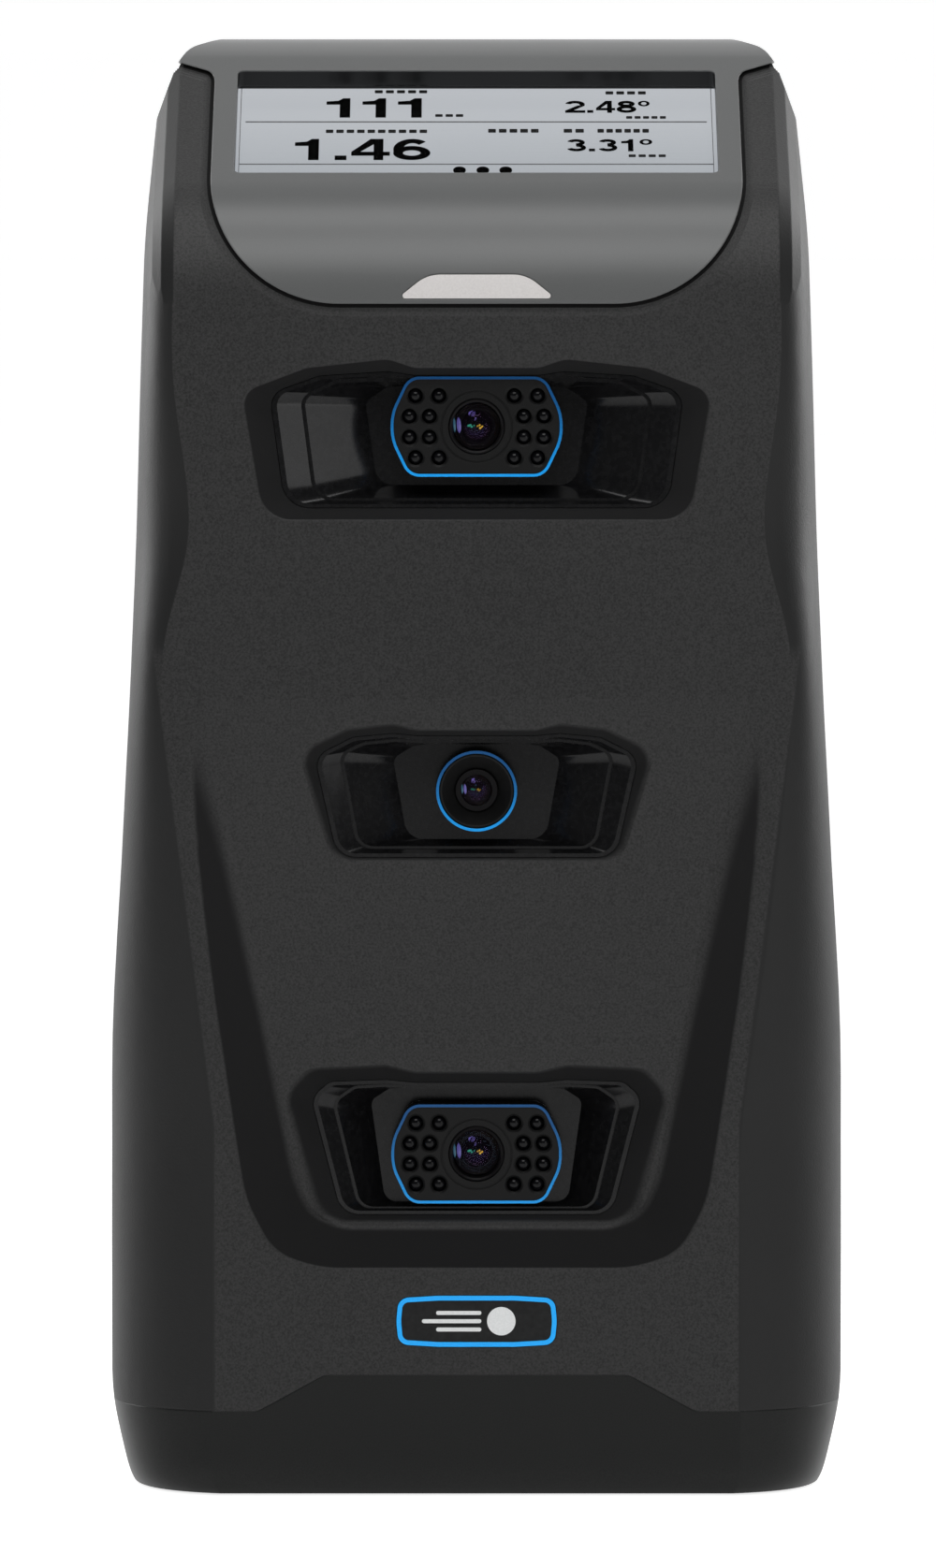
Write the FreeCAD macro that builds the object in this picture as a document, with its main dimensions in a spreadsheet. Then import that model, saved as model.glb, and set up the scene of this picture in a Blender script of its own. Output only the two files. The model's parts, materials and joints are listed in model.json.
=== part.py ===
import FreeCAD, Part
import math
import os
import Sketcher

# Portable golf launch monitor, 308 mm tall.
# Frame: origin at the middle of the footprint, +Z up, the cameras face -Y, +X to the viewer's right.

doc = FreeCAD.newDocument("LaunchMonitor")
sheet = doc.addObject("Spreadsheet::Sheet", "Sizes")

SIZES = [
    ("front_y", -60.0, "plane of the front face"),
    ("back_y", 60.0, "plane of the back face"),
    ("wall", 2.8, "thickness of the moulded housings"),
    ("split_y", 12.0, "parting plane between front and rear housings"),
    ("head_back", 34.0, "rear edge of the display housing"),
    ("slope", 34.0, "tilt of the display from level, degrees"),
    ("seal_w", 0.8, "width of the seal round the display housing"),
    ("view_w", 102.2, "width of the display opening"),
    ("view_l", 39.9, "length of the display opening along the slope"),
    ("view_deep", 3.9, "depth of the display window below its rim"),
    ("glass_t", 1.2, "thickness of the display window"),
    ("lcd_t", 2.4, "thickness of the display panel"),
    ("board_t", 1.6, "thickness of every circuit board"),
    ("plate_t", 2.0, "thickness of an emitter plate"),
    ("trim_w", 0.6, "width of the blue trims"),
    ("led_d", 3.0, "diameter of an infrared emitter"),
    ("lens_d", 11.7, "diameter of a lens barrel"),
    ("upper_z", 225.1, "height of the upper camera"),
    ("middle_z", 148.6, "height of the middle camera"),
    ("lower_z", 71.4, "height of the lower camera"),
    ("foot_t", 1.6, "thickness of a foot pad"),
    ("foot_d", 15.0, "diameter of a foot pad"),
    ("foot_x", 56.0, "sideways offset of the foot pads"),
    ("foot_y", 44.0, "fore and aft offset of the foot pads"),
    ("door_w", 66.0, "width of the port door"),
    ("door_tall", 30.0, "height of the port door"),
    ("door_t", 2.4, "thickness of the port door"),
    ("door_z", 46.0, "height of the hinge of the port door"),
    ("pin_d", 2.0, "diameter of the hinge pin"),
    ("key_d", 8.0, "diameter of a control button"),
    ("key_y", 36.0, "fore and aft place of the buttons"),
    ("key_pitch", 14.0, "spacing of the buttons"),
    ("key_z", 222.0, "height of the lowest button"),
    ("key_face", 67.9, "sideways place of the button faces"),
    ("cell_w", 84.0, "width of the battery pack"),
    ("cell_l", 20.0, "depth of the battery pack"),
    ("cell_tall", 66.0, "height of the battery pack"),
    ("screw_d", 3.0, "screw thread diameter"),
    ("screw_head", 5.4, "screw head diameter"),
]
for number, (alias, value, note) in enumerate(SIZES, start=1):
    sheet.set("A%d" % number, alias)
    sheet.set("B%d" % number, str(value))
    sheet.set("C%d" % number, note)
    sheet.setAlias("B%d" % number, alias)
doc.recompute()

NODES = []


def size(alias):
    return float(sheet.get(alias))


def vec(x, y, z):
    return FreeCAD.Vector(x, y, z)


def keep(obj, name):
    """Name an object as a node of the assembly."""
    obj.Label = name
    NODES.append(obj)
    return obj


def shaped(name, shape):
    """A node whose free-form shape is computed from the sheet in code."""
    obj = doc.addObject("Part::Feature", name)
    obj.Shape = shape
    return keep(obj, name)


def bind(obj, **expressions):
    for prop, expression in expressions.items():
        obj.setExpression(prop.replace("__", "."), expression)
    return obj


def fused(name, pieces):
    obj = doc.addObject("Part::MultiFuse", name)
    obj.Shapes = pieces
    return obj


def cut(name, base, tool):
    obj = doc.addObject("Part::Cut", name)
    obj.Base = base
    obj.Tool = tool
    return obj


def box(name, length, width, height, x, y, z):
    """A Part box with every size and place bound to the sheet."""
    obj = doc.addObject("Part::Box", name)
    bind(obj, Length=length, Width=width, Height=height)
    bind(obj, Placement__Base__x=x, Placement__Base__y=y, Placement__Base__z=z)
    return obj


# ---------------------------------------------------------------- outlines

def carve(shape, tools):
    """Cut tools out of a shape one after another."""
    for tool in tools:
        shape = shape.cut(tool)
    return shape.removeSplitter()


def along_y(radius, x, z, y_from, y_to):
    return Part.makeCylinder(radius, y_to - y_from, vec(x, y_from, z), vec(0, 1, 0))


def block(x_from, x_to, y_from, y_to, z_from, z_to):
    return Part.makeBox(x_to - x_from, y_to - y_from, z_to - z_from, vec(x_from, y_from, z_from))


def mirrored(half):
    """Close a right-hand half outline (listed top to bottom) with its mirror image."""
    return half + [(-x, z, r) for x, z, r in reversed(half)]


def rounded(points, place):
    """A closed wire through corners (u, w, radius); place maps (u, w) into space."""
    count = len(points)
    starts = []
    for i, (u, w, r) in enumerate(points):
        pu, pw = points[i - 1][:2]
        nu, nw = points[(i + 1) % count][:2]
        a = vec(pu - u, pw - w, 0).normalize()
        b = vec(nu - u, nw - w, 0).normalize()
        half = a.getAngle(b) / 2.0
        run = r / math.tan(half)
        corner = vec(u, w, 0)
        middle = (a + b).normalize()
        reach = r / math.sin(half) - r
        starts.append((corner + a * run, corner + middle * reach, corner + b * run))
    edges = []
    for i in range(count):
        first, mid, last = [place(p.x, p.y) for p in starts[i]]
        follow = place(starts[(i + 1) % count][0].x, starts[(i + 1) % count][0].y)
        edges.append(Part.Arc(first, mid, last).toShape())
        edges.append(Part.LineSegment(last, follow).toShape())
    return Part.Wire(edges)


def front_view(y):
    return lambda u, w: vec(u, y, w)


def slab(points, y_from, y_to):
    """An outline seen from the front, carried from one depth to another."""
    face = Part.Face(rounded(points, front_view(y_from)))
    return face.extrude(vec(0, y_to - y_from, 0))


def funnel(points_a, y_a, points_b, y_b):
    """A ruled solid between two outlines with the same number of corners."""
    wires = [rounded(points_a, front_view(y_a)), rounded(points_b, front_view(y_b))]
    return Part.makeLoft(wires, True, True)


def grown(points, amount):
    """Offset an outline square to its sides; corner radii follow."""
    count = len(points)
    area = 0.0
    for i in range(count):
        area += points[i - 1][0] * points[i][1] - points[i][0] * points[i - 1][1]
    turn = math.copysign(1.0, area)
    result = []
    for i, (u, w, r) in enumerate(points):
        pu, pw = points[i - 1][:2]
        nu, nw = points[(i + 1) % count][:2]
        a = vec(u - pu, w - pw, 0).normalize()
        b = vec(nu - u, nw - w, 0).normalize()
        out_a = vec(a.y, -a.x, 0) * turn
        out_b = vec(b.y, -b.x, 0) * turn
        bend = turn * (a.x * b.y - a.y * b.x)
        shift = (out_a + out_b) * (amount / (1.0 + out_a.dot(out_b)))
        change = amount if bend > 0 else -amount
        result.append((u + shift.x, w + shift.y, max(r + change, 0.25)))
    return result


# ---------------------------------------------------------------- outer form

# height, half width, half width of the flat front, setback of the front
STATIONS = [
    (0.4, 72.6, 54.0, 1.8), (3.6, 73.9, 55.3, 0.3), (9.0, 75.3, 55.5, 0.0), (17.5, 77.1, 55.5, 0.0),
    (30.0, 77.6, 55.5, 0.0), (52.0, 77.6, 55.5, 0.0), (76.0, 77.5, 55.6, 0.0), (95.0, 77.3, 58.0, 0.0),
    (112.0, 76.5, 60.4, 0.0), (132.0, 75.2, 62.8, 0.0), (150.0, 74.2, 64.8, 0.0),
    (168.0, 73.2, 66.2, 0.0), (184.0, 72.5, 64.6, 0.0), (200.0, 71.9, 60.6, 0.0),
    (216.0, 71.4, 61.0, 0.0), (232.0, 70.9, 63.2, 0.0), (250.0, 70.3, 63.6, 0.0),
    (270.0, 69.6, 63.4, 0.0), (290.0, 68.8, 63.1, 0.0), (312.0, 68.2, 62.8, 0.0),
]
BACK_ROUND = 17.0
BACK_TAPER = 1.5


def curve(*poles):
    bezier = Part.BezierCurve()
    bezier.setPoles(list(poles))
    return bezier.toShape()


def station_wire(height, half, flat, setback, inset):
    """One level section: flat front, creased corner, straight side, rounded back."""
    half -= inset
    flat -= 0.7 * inset
    front = size("front_y") + setback + inset
    back = size("back_y") - inset - setback
    deep = 10.0 + 0.6 * (half - flat)
    rear = half - BACK_TAPER
    bend = BACK_ROUND - 0.6 * inset
    z = height
    side = []
    for s in (1, -1):
        corner = curve(
            vec(s * flat, front, z),
            vec(s * (half - 0.14 * (half - flat)), front + 0.2 * deep, z),
            vec(s * half, front + deep, z),
        )
        wall = Part.LineSegment(
            vec(s * half, front + deep, z), vec(s * rear, back - bend, z)
        ).toShape()
        round_back = curve(
            vec(s * rear, back - bend, z),
            vec(s * rear, back - 0.42 * bend, z),
            vec(s * (rear - 0.42 * bend), back, z),
            vec(s * (rear - bend), back, z),
        )
        side.append([corner, wall, round_back])
    face_edge = Part.LineSegment(vec(-flat, front, z), vec(flat, front, z)).toShape()
    back_edge = Part.LineSegment(vec(rear - bend, back, z), vec(bend - rear, back, z)).toShape()
    return Part.Wire([face_edge] + side[0] + [back_edge] + list(reversed(side[1])))


SLOPE_FOOT = (-45.4, 276.8)


def slope_point(along, above=0.0):
    """A point of the middle plane, measured along the display slope and square to it."""
    tilt = math.radians(size("slope"))
    y = SLOPE_FOOT[0] + along * math.cos(tilt) - above * math.sin(tilt)
    z = SLOPE_FOOT[1] + along * math.sin(tilt) + above * math.cos(tilt)
    return vec(0, y, z)


# side view of the space above the body: chin, display slope, ridge, sloping back
SKY = [
    (-90.0, 251.0, 0.3), (-60.0, 251.0, 0.3), (-59.13, 267.5, 31.5), (0.86, 308.0, 27.0),
    (24.0, 308.0, 38.0), (60.6, 294.7, 15.0), (60.6, 272.0, 0.3), (90.0, 272.0, 0.3),
    (90.0, 345.0, 0.3), (-90.0, 345.0, 0.3),
]
# front view of the space beside the clipped shoulders and rounded top corners
SHOULDER = [
    (95.0, 287.2, 0.3), (69.3, 287.2, 0.3), (64.3, 302.2, 7.0), (61.8, 305.9, 6.0),
    (55.0, 308.15, 16.0), (46.0, 308.3, 0.3), (46.0, 345.0, 0.3), (95.0, 345.0, 0.3),
]
# fall of the outer edges beside the display slope: distance from the middle plane, drop
EDGE_FALL = [(62.4, -0.6), (66.0, 1.6), (68.0, 4.2), (69.4, 8.5), (71.5, 20.0)]


def sky_tool(inset):
    outline = rounded(grown(SKY, inset), lambda u, w: vec(-120, u, w))
    return Part.Face(outline).extrude(vec(240, 0, 0))


def shoulder_tool(inset):
    tool = slab(grown(SHOULDER, inset), -90, 90)
    return tool.fuse(tool.mirror(vec(0, 0, 0), vec(1, 0, 0)))


def edge_tool(inset):
    """Space along the outer edges of the display slope, falling away to the sides."""
    wires = []
    for x, drop in EDGE_FALL:
        place = x - 0.8 * inset
        wires.append(rounded(grown(SKY, inset + drop), lambda u, w: vec(place, u, w)))
    tool = Part.makeLoft(wires, True, True)
    return tool.fuse(tool.mirror(vec(0, 0, 0), vec(1, 0, 0)))


def outer_form(inset=0.0):
    """The whole body as one solid, shrunk all round by an inset."""
    wires = [station_wire(*row, inset) for row in STATIONS]
    form = Part.makeLoft(wires, True, False)
    if inset:
        form = form.common(Part.makeBox(200, 200, 320, vec(-100, -100, inset + 0.4)))
    for tool in (sky_tool(inset), edge_tool(inset), shoulder_tool(inset)):
        form = form.cut(tool)
    return form.removeSplitter()


# ---------------------------------------------------------------- dividing lines

HEAD = mirrored([
    (95.0, 345.0, 0.3), (95.0, 304.2, 0.3), (65.5, 303.0, 2.0), (56.0, 300.2, 2.6),
    (56.0, 250.8, 27.3),
])
BASE = mirrored([(32.0, 25.8, 4.0), (46.0, 18.1, 4.0), (95.0, 18.1, 0.3), (95.0, -8.0, 0.3)])

# camera bays, right half from top to bottom: rim on the front face, tray edge, two inner steps
UPPER_BAY = {
    "rim": [(13.0, 237.6, 4.0), (18.5, 239.6, 6.0), (36.0, 237.6, 9.0), (49.9, 232.3, 4.0),
            (45.2, 205.4, 7.0)],
    "tray": [(13.0, 235.9, 3.0), (18.5, 236.7, 4.0), (33.0, 235.8, 5.0), (43.4, 232.0, 4.0),
             (40.2, 208.0, 6.0)],
    "step": [(13.0, 235.0, 3.0), (18.5, 235.3, 4.0), (30.0, 234.7, 4.0), (37.0, 231.2, 3.0),
             (34.2, 209.4, 5.0)],
    "floor": [(11.0, 233.2, 1.0), (15.0, 233.6, 1.0), (19.0, 233.2, 2.0), (23.4, 230.2, 2.0),
              (20.9, 212.7, 4.0)],
}
MIDDLE_BAY = {
    "rim": [(12.5, 162.0, 4.0), (17.5, 163.5, 5.0), (27.5, 162.4, 6.0), (38.9, 157.6, 5.0),
            (33.6, 132.5, 6.0)],
    "tray": [(12.5, 160.3, 3.0), (17.5, 160.8, 3.0), (26.0, 160.0, 4.0), (34.1, 155.9, 4.0),
             (29.3, 134.6, 5.0)],
    "step": [(12.5, 159.2, 3.0), (17.5, 159.4, 3.0), (24.0, 158.7, 3.0), (29.0, 156.4, 3.0),
             (25.2, 136.2, 4.0)],
    "floor": [(7.0, 158.0, 1.0), (10.0, 158.2, 1.0), (13.5, 157.6, 1.5), (17.6, 155.0, 2.0),
              (14.6, 138.0, 4.0)],
}
LOWER_BAY = {
    "rim": [(13.0, 89.4, 4.0), (19.0, 91.0, 5.0), (36.0, 90.2, 5.0), (41.2, 84.6, 5.0),
            (34.6, 57.0, 7.0)],
    "tray": [(13.0, 86.6, 3.0), (19.0, 87.2, 3.0), (31.0, 86.8, 3.0), (35.0, 83.4, 4.0),
             (28.6, 58.5, 5.0)],
    "step": [(13.0, 85.6, 3.0), (19.0, 86.0, 3.0), (26.0, 85.6, 3.0), (30.6, 82.4, 3.0),
             (25.0, 59.3, 4.0)],
    "floor": [(11.0, 84.6, 1.0), (14.0, 84.8, 1.0), (18.6, 84.4, 1.5), (22.4, 82.0, 2.0),
              (19.4, 60.4, 3.0)],
}
# tongue of the front that leans inward round the lower camera: crease and foot of its slope
TONGUE_TOP = 168.0
TONGUE_LEAN = 0.074
TONGUE_RIM = mirrored([
    (67.3, 176.0, 1.0), (56.9, 106.0, 30.0), (49.6, 62.0, 30.0), (43.2, 50.6, 12.0), (33.0, 47.6, 25.0),
])
TONGUE_FLOOR = mirrored([
    (58.0, 176.0, 1.0), (45.0, 106.0, 30.0), (37.6, 66.5, 20.0), (34.9, 59.6, 8.0), (28.0, 56.4, 11.0),
])
PLATE = [(13.9, 9.9, 3.2), (17.4, 2.6, 10.0), (17.4, -2.6, 10.0), (13.9, -9.9, 3.2)]


def lean(u, w):
    """The leaning tongue face."""
    return vec(u, size("front_y") + TONGUE_LEAN * (TONGUE_TOP - w), w)


def tongue_tool():
    rim = rounded(TONGUE_RIM, front_view(size("front_y") - 0.6))
    floor = rounded(TONGUE_FLOOR, lean)
    return Part.makeLoft([rim, floor], True, True)


def plate_outline(height, amount=0.0):
    points = mirrored([(u, w + height, r) for u, w, r in PLATE])
    return grown(points, amount) if amount else points


def pod_tool(kind, height, y_from, y_to, amount):
    """The passage for a camera pod, oval plate or round."""
    if kind == "round":
        return Part.makeCylinder(8.5 + amount, y_to - y_from, vec(0, y_from, height), vec(0, 1, 0))
    return slab(plate_outline(height, size("trim_w") + amount), y_from, y_to)


class Bay:
    """Depths of one camera bay: where its tray edge, its floor and its pod face lie."""

    def __init__(self, outlines, kind, height, edge_y):
        self.outlines = {key: mirrored(half) for key, half in outlines.items()}
        self.kind = kind
        self.height = height
        self.edge = edge_y
        self.back = edge_y + 11.0
        self.face = edge_y - 0.3

    def rim_wire(self):
        rim = self.outlines["rim"]
        if self.kind == "leaning":
            return rounded(rim, lambda u, w: lean(u, w) + vec(0, -0.3, 0))
        return rounded(rim, front_view(size("front_y") - 0.3))

    def pocket(self):
        """Space taken out of the front housing."""
        tray_wire = rounded(self.outlines["tray"], front_view(self.edge))
        mouth = Part.makeLoft([self.rim_wire(), tray_wire], True, True)
        well = slab(self.outlines["tray"], self.edge - 0.01, self.back)
        passage = pod_tool(self.kind, self.height, self.face - 0.5, self.back + 6.0, 0.15)
        return mouth.fuse([well, passage])

    def block(self):
        """Material that carries the bay inside the front housing."""
        collar = slab(grown(self.outlines["rim"], 1.2), self.edge - 3.0, self.edge + 1.5)
        well = slab(grown(self.outlines["tray"], 1.8), self.edge - 1.0, self.back + 1.8)
        return collar.fuse(well)

    def tray(self):
        """Gloss black stepped tray that lines the bay."""
        outer = grown(self.outlines["tray"], -0.12)
        body = slab(outer, self.edge + 0.05, self.back)
        step = self.outlines["step"]
        floor = self.outlines["floor"]
        first = funnel(grown(outer, -0.7), self.edge - 0.1, step, self.edge + 2.0)
        shelf = slab(step, self.edge + 1.9, self.edge + 2.8)
        second = funnel(grown(step, -0.6), self.edge + 2.7, floor, self.edge + 8.6)
        passage = pod_tool(self.kind, self.height, self.edge - 1.0, self.back + 1.0, 0.0)
        return carve(body, [passage, second, shelf, first])


BAYS = {
    "upper": Bay(UPPER_BAY, "plate", size("upper_z"), -56.4),
    "middle": Bay(MIDDLE_BAY, "round", size("middle_z"), -56.4),
    "lower": Bay(LOWER_BAY, "leaning", size("lower_z"), -49.4),
}


# ---------------------------------------------------------------- housings

BODY = outer_form()
CAVITY = outer_form(size("wall"))
SKIN = BODY.cut(CAVITY)
HEAD_SPACE = slab(HEAD, -90.0, size("head_back"))
HEAD_GAP = slab(grown(HEAD, size("seal_w")), -90.0, size("head_back") + size("seal_w"))
BASE_SPACE = slab(BASE, -90.0, 90.0)
SCREW_SPOTS = [(s * x, z) for x, z in ((58.0, 34.0), (58.0, 140.0), (61.4, 286.0)) for s in (1, -1)]
BENCH_SPOTS = [(s * 24.0, z) for z in (50.0, 110.0, 187.0, 244.0) for s in (1, -1)]
BASE_SPOTS = [(s * 52.0, y) for y in (-26.0, 26.0) for s in (1, -1)]
SCREW_SEAT = 26.0
BENCH_Y = -30.0
KEY_BOARD_X = 57.6
PORT_SPOTS = [(s * 27.0, size("door_z") + up) for up in (6.0, 23.0) for s in (1, -1)]
KEY_HEIGHTS = [size("key_z") + i * size("key_pitch") for i in range(4)]
DOOR = {"x": size("door_w") / 2.0, "z": size("door_z"), "tall": size("door_tall")}


def front_housing():
    """Front shell: camera bays, leaning tongue, groove for the head seal and badge pocket."""
    split = size("split_y")
    region = block(-120, 120, -90, split, -5, 330)
    shell = SKIN.common(region).cut(BASE_SPACE).cut(HEAD_GAP)
    for ease in head_easing():
        shell = shell.cut(ease)
    shell = shell.fuse(thick_tongue())
    for bay in BAYS.values():
        shell = shell.fuse(bay.block())
    for x, z in SCREW_SPOTS:
        shell = shell.fuse(along_y(4.0, x, z, -59.0, split).common(CAVITY))
    shell = shell.fuse(base_lugs(-1))
    for x, z in BENCH_SPOTS:
        shell = shell.fuse(along_y(3.4, x, z, -58.0, BENCH_Y).common(CAVITY))
    tools = [tongue_tool()] + [bay.pocket() for bay in BAYS.values()]
    tools += [along_y(thread(), x, z, -6.0, split + 1) for x, z in SCREW_SPOTS]
    tools += [along_y(thread(), x, z, -38.0, BENCH_Y + 1) for x, z in BENCH_SPOTS]
    tools += base_threads(-1)
    tools.append(slab(badge_outline(0.1), -61.0, -58.6))
    tools.append(block(-1.6, 1.6, -59.0, -50.0, 34.0, 40.0))
    return carve(shell, tools)


def head_easing():
    """Shallow layers cut back beside the head seam, so that its edge eases off in fine steps."""
    layers = []
    for depth, reach in ((0.2, 1.5), (0.4, 1.0), (0.6, 0.5)):
        strip = slab(grown(HEAD, size("seal_w") + reach), -90.0, size("split_y"))
        layers.append(strip.cut(outer_form(depth)))
    return layers


def thread():
    return size("screw_d") / 2.0 + 0.02


def base_lugs(side):
    """Ledges on the side walls that the base screws pull against."""
    lugs = block(-90, 90, side * 26.0 - 5.0, side * 26.0 + 5.0, 18.2, 25.0)
    return lugs.cut(block(-47, 47, -90, 90, 0, 40)).common(CAVITY)


def base_threads(side):
    spots = [spot for spot in BASE_SPOTS if spot[1] * side > 0]
    return [Part.makeCylinder(thread(), 12.0, vec(x, y, 16.0)) for x, y in spots]


def thick_tongue():
    """Solid backing just inside the leaning tongue, one wall thick."""
    rim = rounded(grown(TONGUE_RIM, 1.6), front_view(size("front_y") + 1.0))
    floor = rounded(
        grown(TONGUE_FLOOR, 1.6), lambda u, w: lean(u, w) + vec(0, size("wall"), 0)
    )
    lid = block(-120, 120, -90, 0, 160.0, 330)
    solid = Part.makeLoft([rim, floor], True, True).cut(lid)
    return solid.common(BODY)


def badge_outline(amount=0.0):
    points = mirrored([(8.0, 42.5, 20.0), (16.4, 42.0, 2.4), (16.9, 37.1, 12.0), (16.4, 32.2, 2.4),
                       (8.0, 31.7, 20.0)])
    return grown(points, amount) if amount else points


def rear_housing():
    """Rear shell: screw posts, port bay with hinge ears and the recess for the button panel."""
    split = size("split_y")
    region = block(-120, 120, split, 90, -5, 330)
    shell = SKIN.common(region).cut(BASE_SPACE).cut(HEAD_GAP)
    for x, z in SCREW_SPOTS:
        shell = shell.fuse(along_y(4.6, x, z, split, 59.0).common(BODY))
    shell = shell.fuse(base_lugs(1))
    bay = block(-DOOR["x"] - 2.6, DOOR["x"] + 2.6, 41.0, 58.5, DOOR["z"] - 6.0, DOOR["z"] + 31.4)
    shell = shell.fuse(bay)
    panel = block(62.6, 69.0, key_y() - 9.6, key_y() + 9.6, KEY_HEIGHTS[0] - 10, KEY_HEIGHTS[3] + 10)
    shell = shell.fuse(panel.common(BODY))
    for z in (KEY_HEIGHTS[0] - 8.4, KEY_HEIGHTS[3] + 8.4):
        shell = shell.fuse(Part.makeCylinder(1.5, 6.0, vec(KEY_BOARD_X, key_y(), z), vec(1, 0, 0)))
    tools = [along_y(1.6, x, z, split - 1, 60.0) for x, z in SCREW_SPOTS]
    tools += [along_y(3.2, x, z, SCREW_SEAT, 61.0) for x, z in SCREW_SPOTS]
    tools += base_threads(1)
    tools += port_space()
    tools.append(panel_space())
    tools += [Part.makeCylinder(3.0, 12.0, vec(58, key_y(), z), vec(1, 0, 0)) for z in KEY_HEIGHTS]
    return carve(shell, tools)


def key_y():
    return size("key_y")


def panel_space():
    return block(65.6, 80.0, key_y() - 7.6, key_y() + 7.6, KEY_HEIGHTS[0] - 8, KEY_HEIGHTS[3] + 8)


def port_space():
    """Door rebate, hinge trough and the bay in which the sockets sit."""
    x, z, tall = DOOR["x"], DOOR["z"], DOOR["tall"]
    rebate = block(-x - 0.3, x + 0.3, 57.4, 61.0, z + 3.2, z + tall - 2.0)
    trough = block(-x + 6.0, x - 6.0, 54.6, 61.0, z - 3.4, z + 3.3)
    bay = block(-x + 3.0, x - 3.0, 43.4, 61.0, z + 3.4, z + tall - 4.6)
    pin = Part.makeCylinder(size("pin_d") / 2.0 + 0.02, 2 * x - 4.0, vec(-x + 2.0, 57.5, z), vec(1, 0, 0))
    window = block(-24.0, 24.0, 40.0, 44.0, z + 4.0, z + tall - 5.2)
    swing = block(-x - 0.3, x + 0.3, 57.4, 61.0, z, z + 3.25)
    swing = swing.cut(Part.makeCylinder(3.2, 2 * x + 2.0, vec(-x - 1.0, 57.5, z), vec(1, 0, 0)))
    spots = [along_y(thread(), px, pz, 38.0, 43.0) for px, pz in PORT_SPOTS]
    return [rebate, trough, bay, pin, window, swing] + spots


def base_cover():
    """Base: darker foot of the body with a floor, posts for the base screws and pad recesses."""
    shell = BODY.cut(CAVITY).common(BASE_SPACE)
    inner = outer_form(size("wall") + 2.0)
    rim = CAVITY.cut(inner).common(block(-120, 120, -90, 90, 14.0, 17.9))
    shell = shell.fuse(rim)
    for x, y in BASE_SPOTS:
        shell = shell.fuse(Part.makeCylinder(4.2, 15.8, vec(x, y, 2.2)))
    tools = [Part.makeCylinder(1.6, 20.0, vec(x, y, -1.0)) for x, y in BASE_SPOTS]
    tools += [Part.makeCylinder(3.0, 5.0, vec(x, y, -1.0)) for x, y in BASE_SPOTS]
    for sx in (1, -1):
        for sy in (1, -1):
            spot = vec(sx * size("foot_x"), sy * size("foot_y"), -1.0)
            tools.append(Part.makeCylinder(size("foot_d") / 2.0 + 0.1, 1.0 + size("foot_t"), spot))
    return carve(shell, tools)


def tilted(length_x, start, end, low, high, corner=0.0):
    """A block laid on the display slope: start and end along it, low and high square to it."""
    solid = Part.makeBox(length_x, end - start, high - low, vec(-length_x / 2.0, start, low))
    if corner:
        solid = solid.makeFillet(corner, [e for e in solid.Edges if e.BoundBox.ZLength > high - low - 0.1])
    solid.rotate(vec(0, 0, 0), vec(1, 0, 0), size("slope"))
    solid.translate(vec(0, SLOPE_FOOT[0], SLOPE_FOOT[1]))
    return solid


VIEW_START = 2.9
VIEW_END = VIEW_START + size("view_l")


def display_housing():
    """Silver head with the sloping display opening, its inner walls and the status window notch."""
    shell = SKIN.common(HEAD_SPACE)
    low = -size("view_deep") - size("glass_t") - size("lcd_t") - 2.0
    frame = tilted(size("view_w") + 6.0, VIEW_START - 3.0, VIEW_END + 3.0, low, -1.0)
    shell = shell.fuse(frame.common(BODY))
    deep = size("view_deep")
    tools = [
        tilted(size("view_w"), VIEW_START, VIEW_END, -deep, 9.0, 1.4),
        tilted(size("view_w") + 2.0, VIEW_START - 1.0, VIEW_END + 1.0, -deep - 8.0, -deep),
        slab(status_outline(0.12), -62.0, -40.0),
    ]
    return carve(shell, tools)


def status_outline(amount=0.0):
    points = mirrored([(10.3, 256.9, 7.8), (16.6, 251.9, 0.6)])
    return grown(points, amount) if amount else points


def status_window():
    """Pale light window set flush in the lower edge of the head."""
    return BODY.cut(outer_form(2.0)).common(slab(status_outline(), -62.0, -40.0))


def head_seal():
    """Black seal that fills the seam round the head a little below the surface."""
    ring = outer_form(0.6).cut(CAVITY)
    return ring.common(HEAD_GAP).cut(HEAD_SPACE)


shaped("front_housing", front_housing())
shaped("rear_housing", rear_housing())
shaped("base_cover", base_cover())
shaped("display_housing", display_housing())
shaped("status_light_window", status_window())
shaped("display_housing_seal", head_seal())
for place, bay in BAYS.items():
    shaped(place + "_camera_tray", bay.tray())


# ---------------------------------------------------------------- camera modules

LED_SPOTS = [
    (s * x, t * z) for t in (1, -1) for s in (1, -1)
    for x, z in ((7.9, 6.5), (12.8, 6.5), (9.9, 2.2), (14.1, 2.2))
]
BOARD_SPOTS = [(12.0, 9.0), (-12.0, 9.0), (12.0, -9.0), (-12.0, -9.0)]
PLATE_FRONT = 0.35
BOARD_FRONT = 7.0
HOLDER_FRONT = 9.2
CAMERA_BOARD = 15.5


def turned(profile, height, y_from):
    """Turn a closed (radius, depth) outline about the optical axis of a camera."""
    points = [vec(r, y_from + d, height) for r, d in profile]
    wire = Part.makePolygon(points + [points[0]])
    return Part.Face(wire).revolve(vec(0, 0, height), vec(0, 1, 0), 360)


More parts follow.
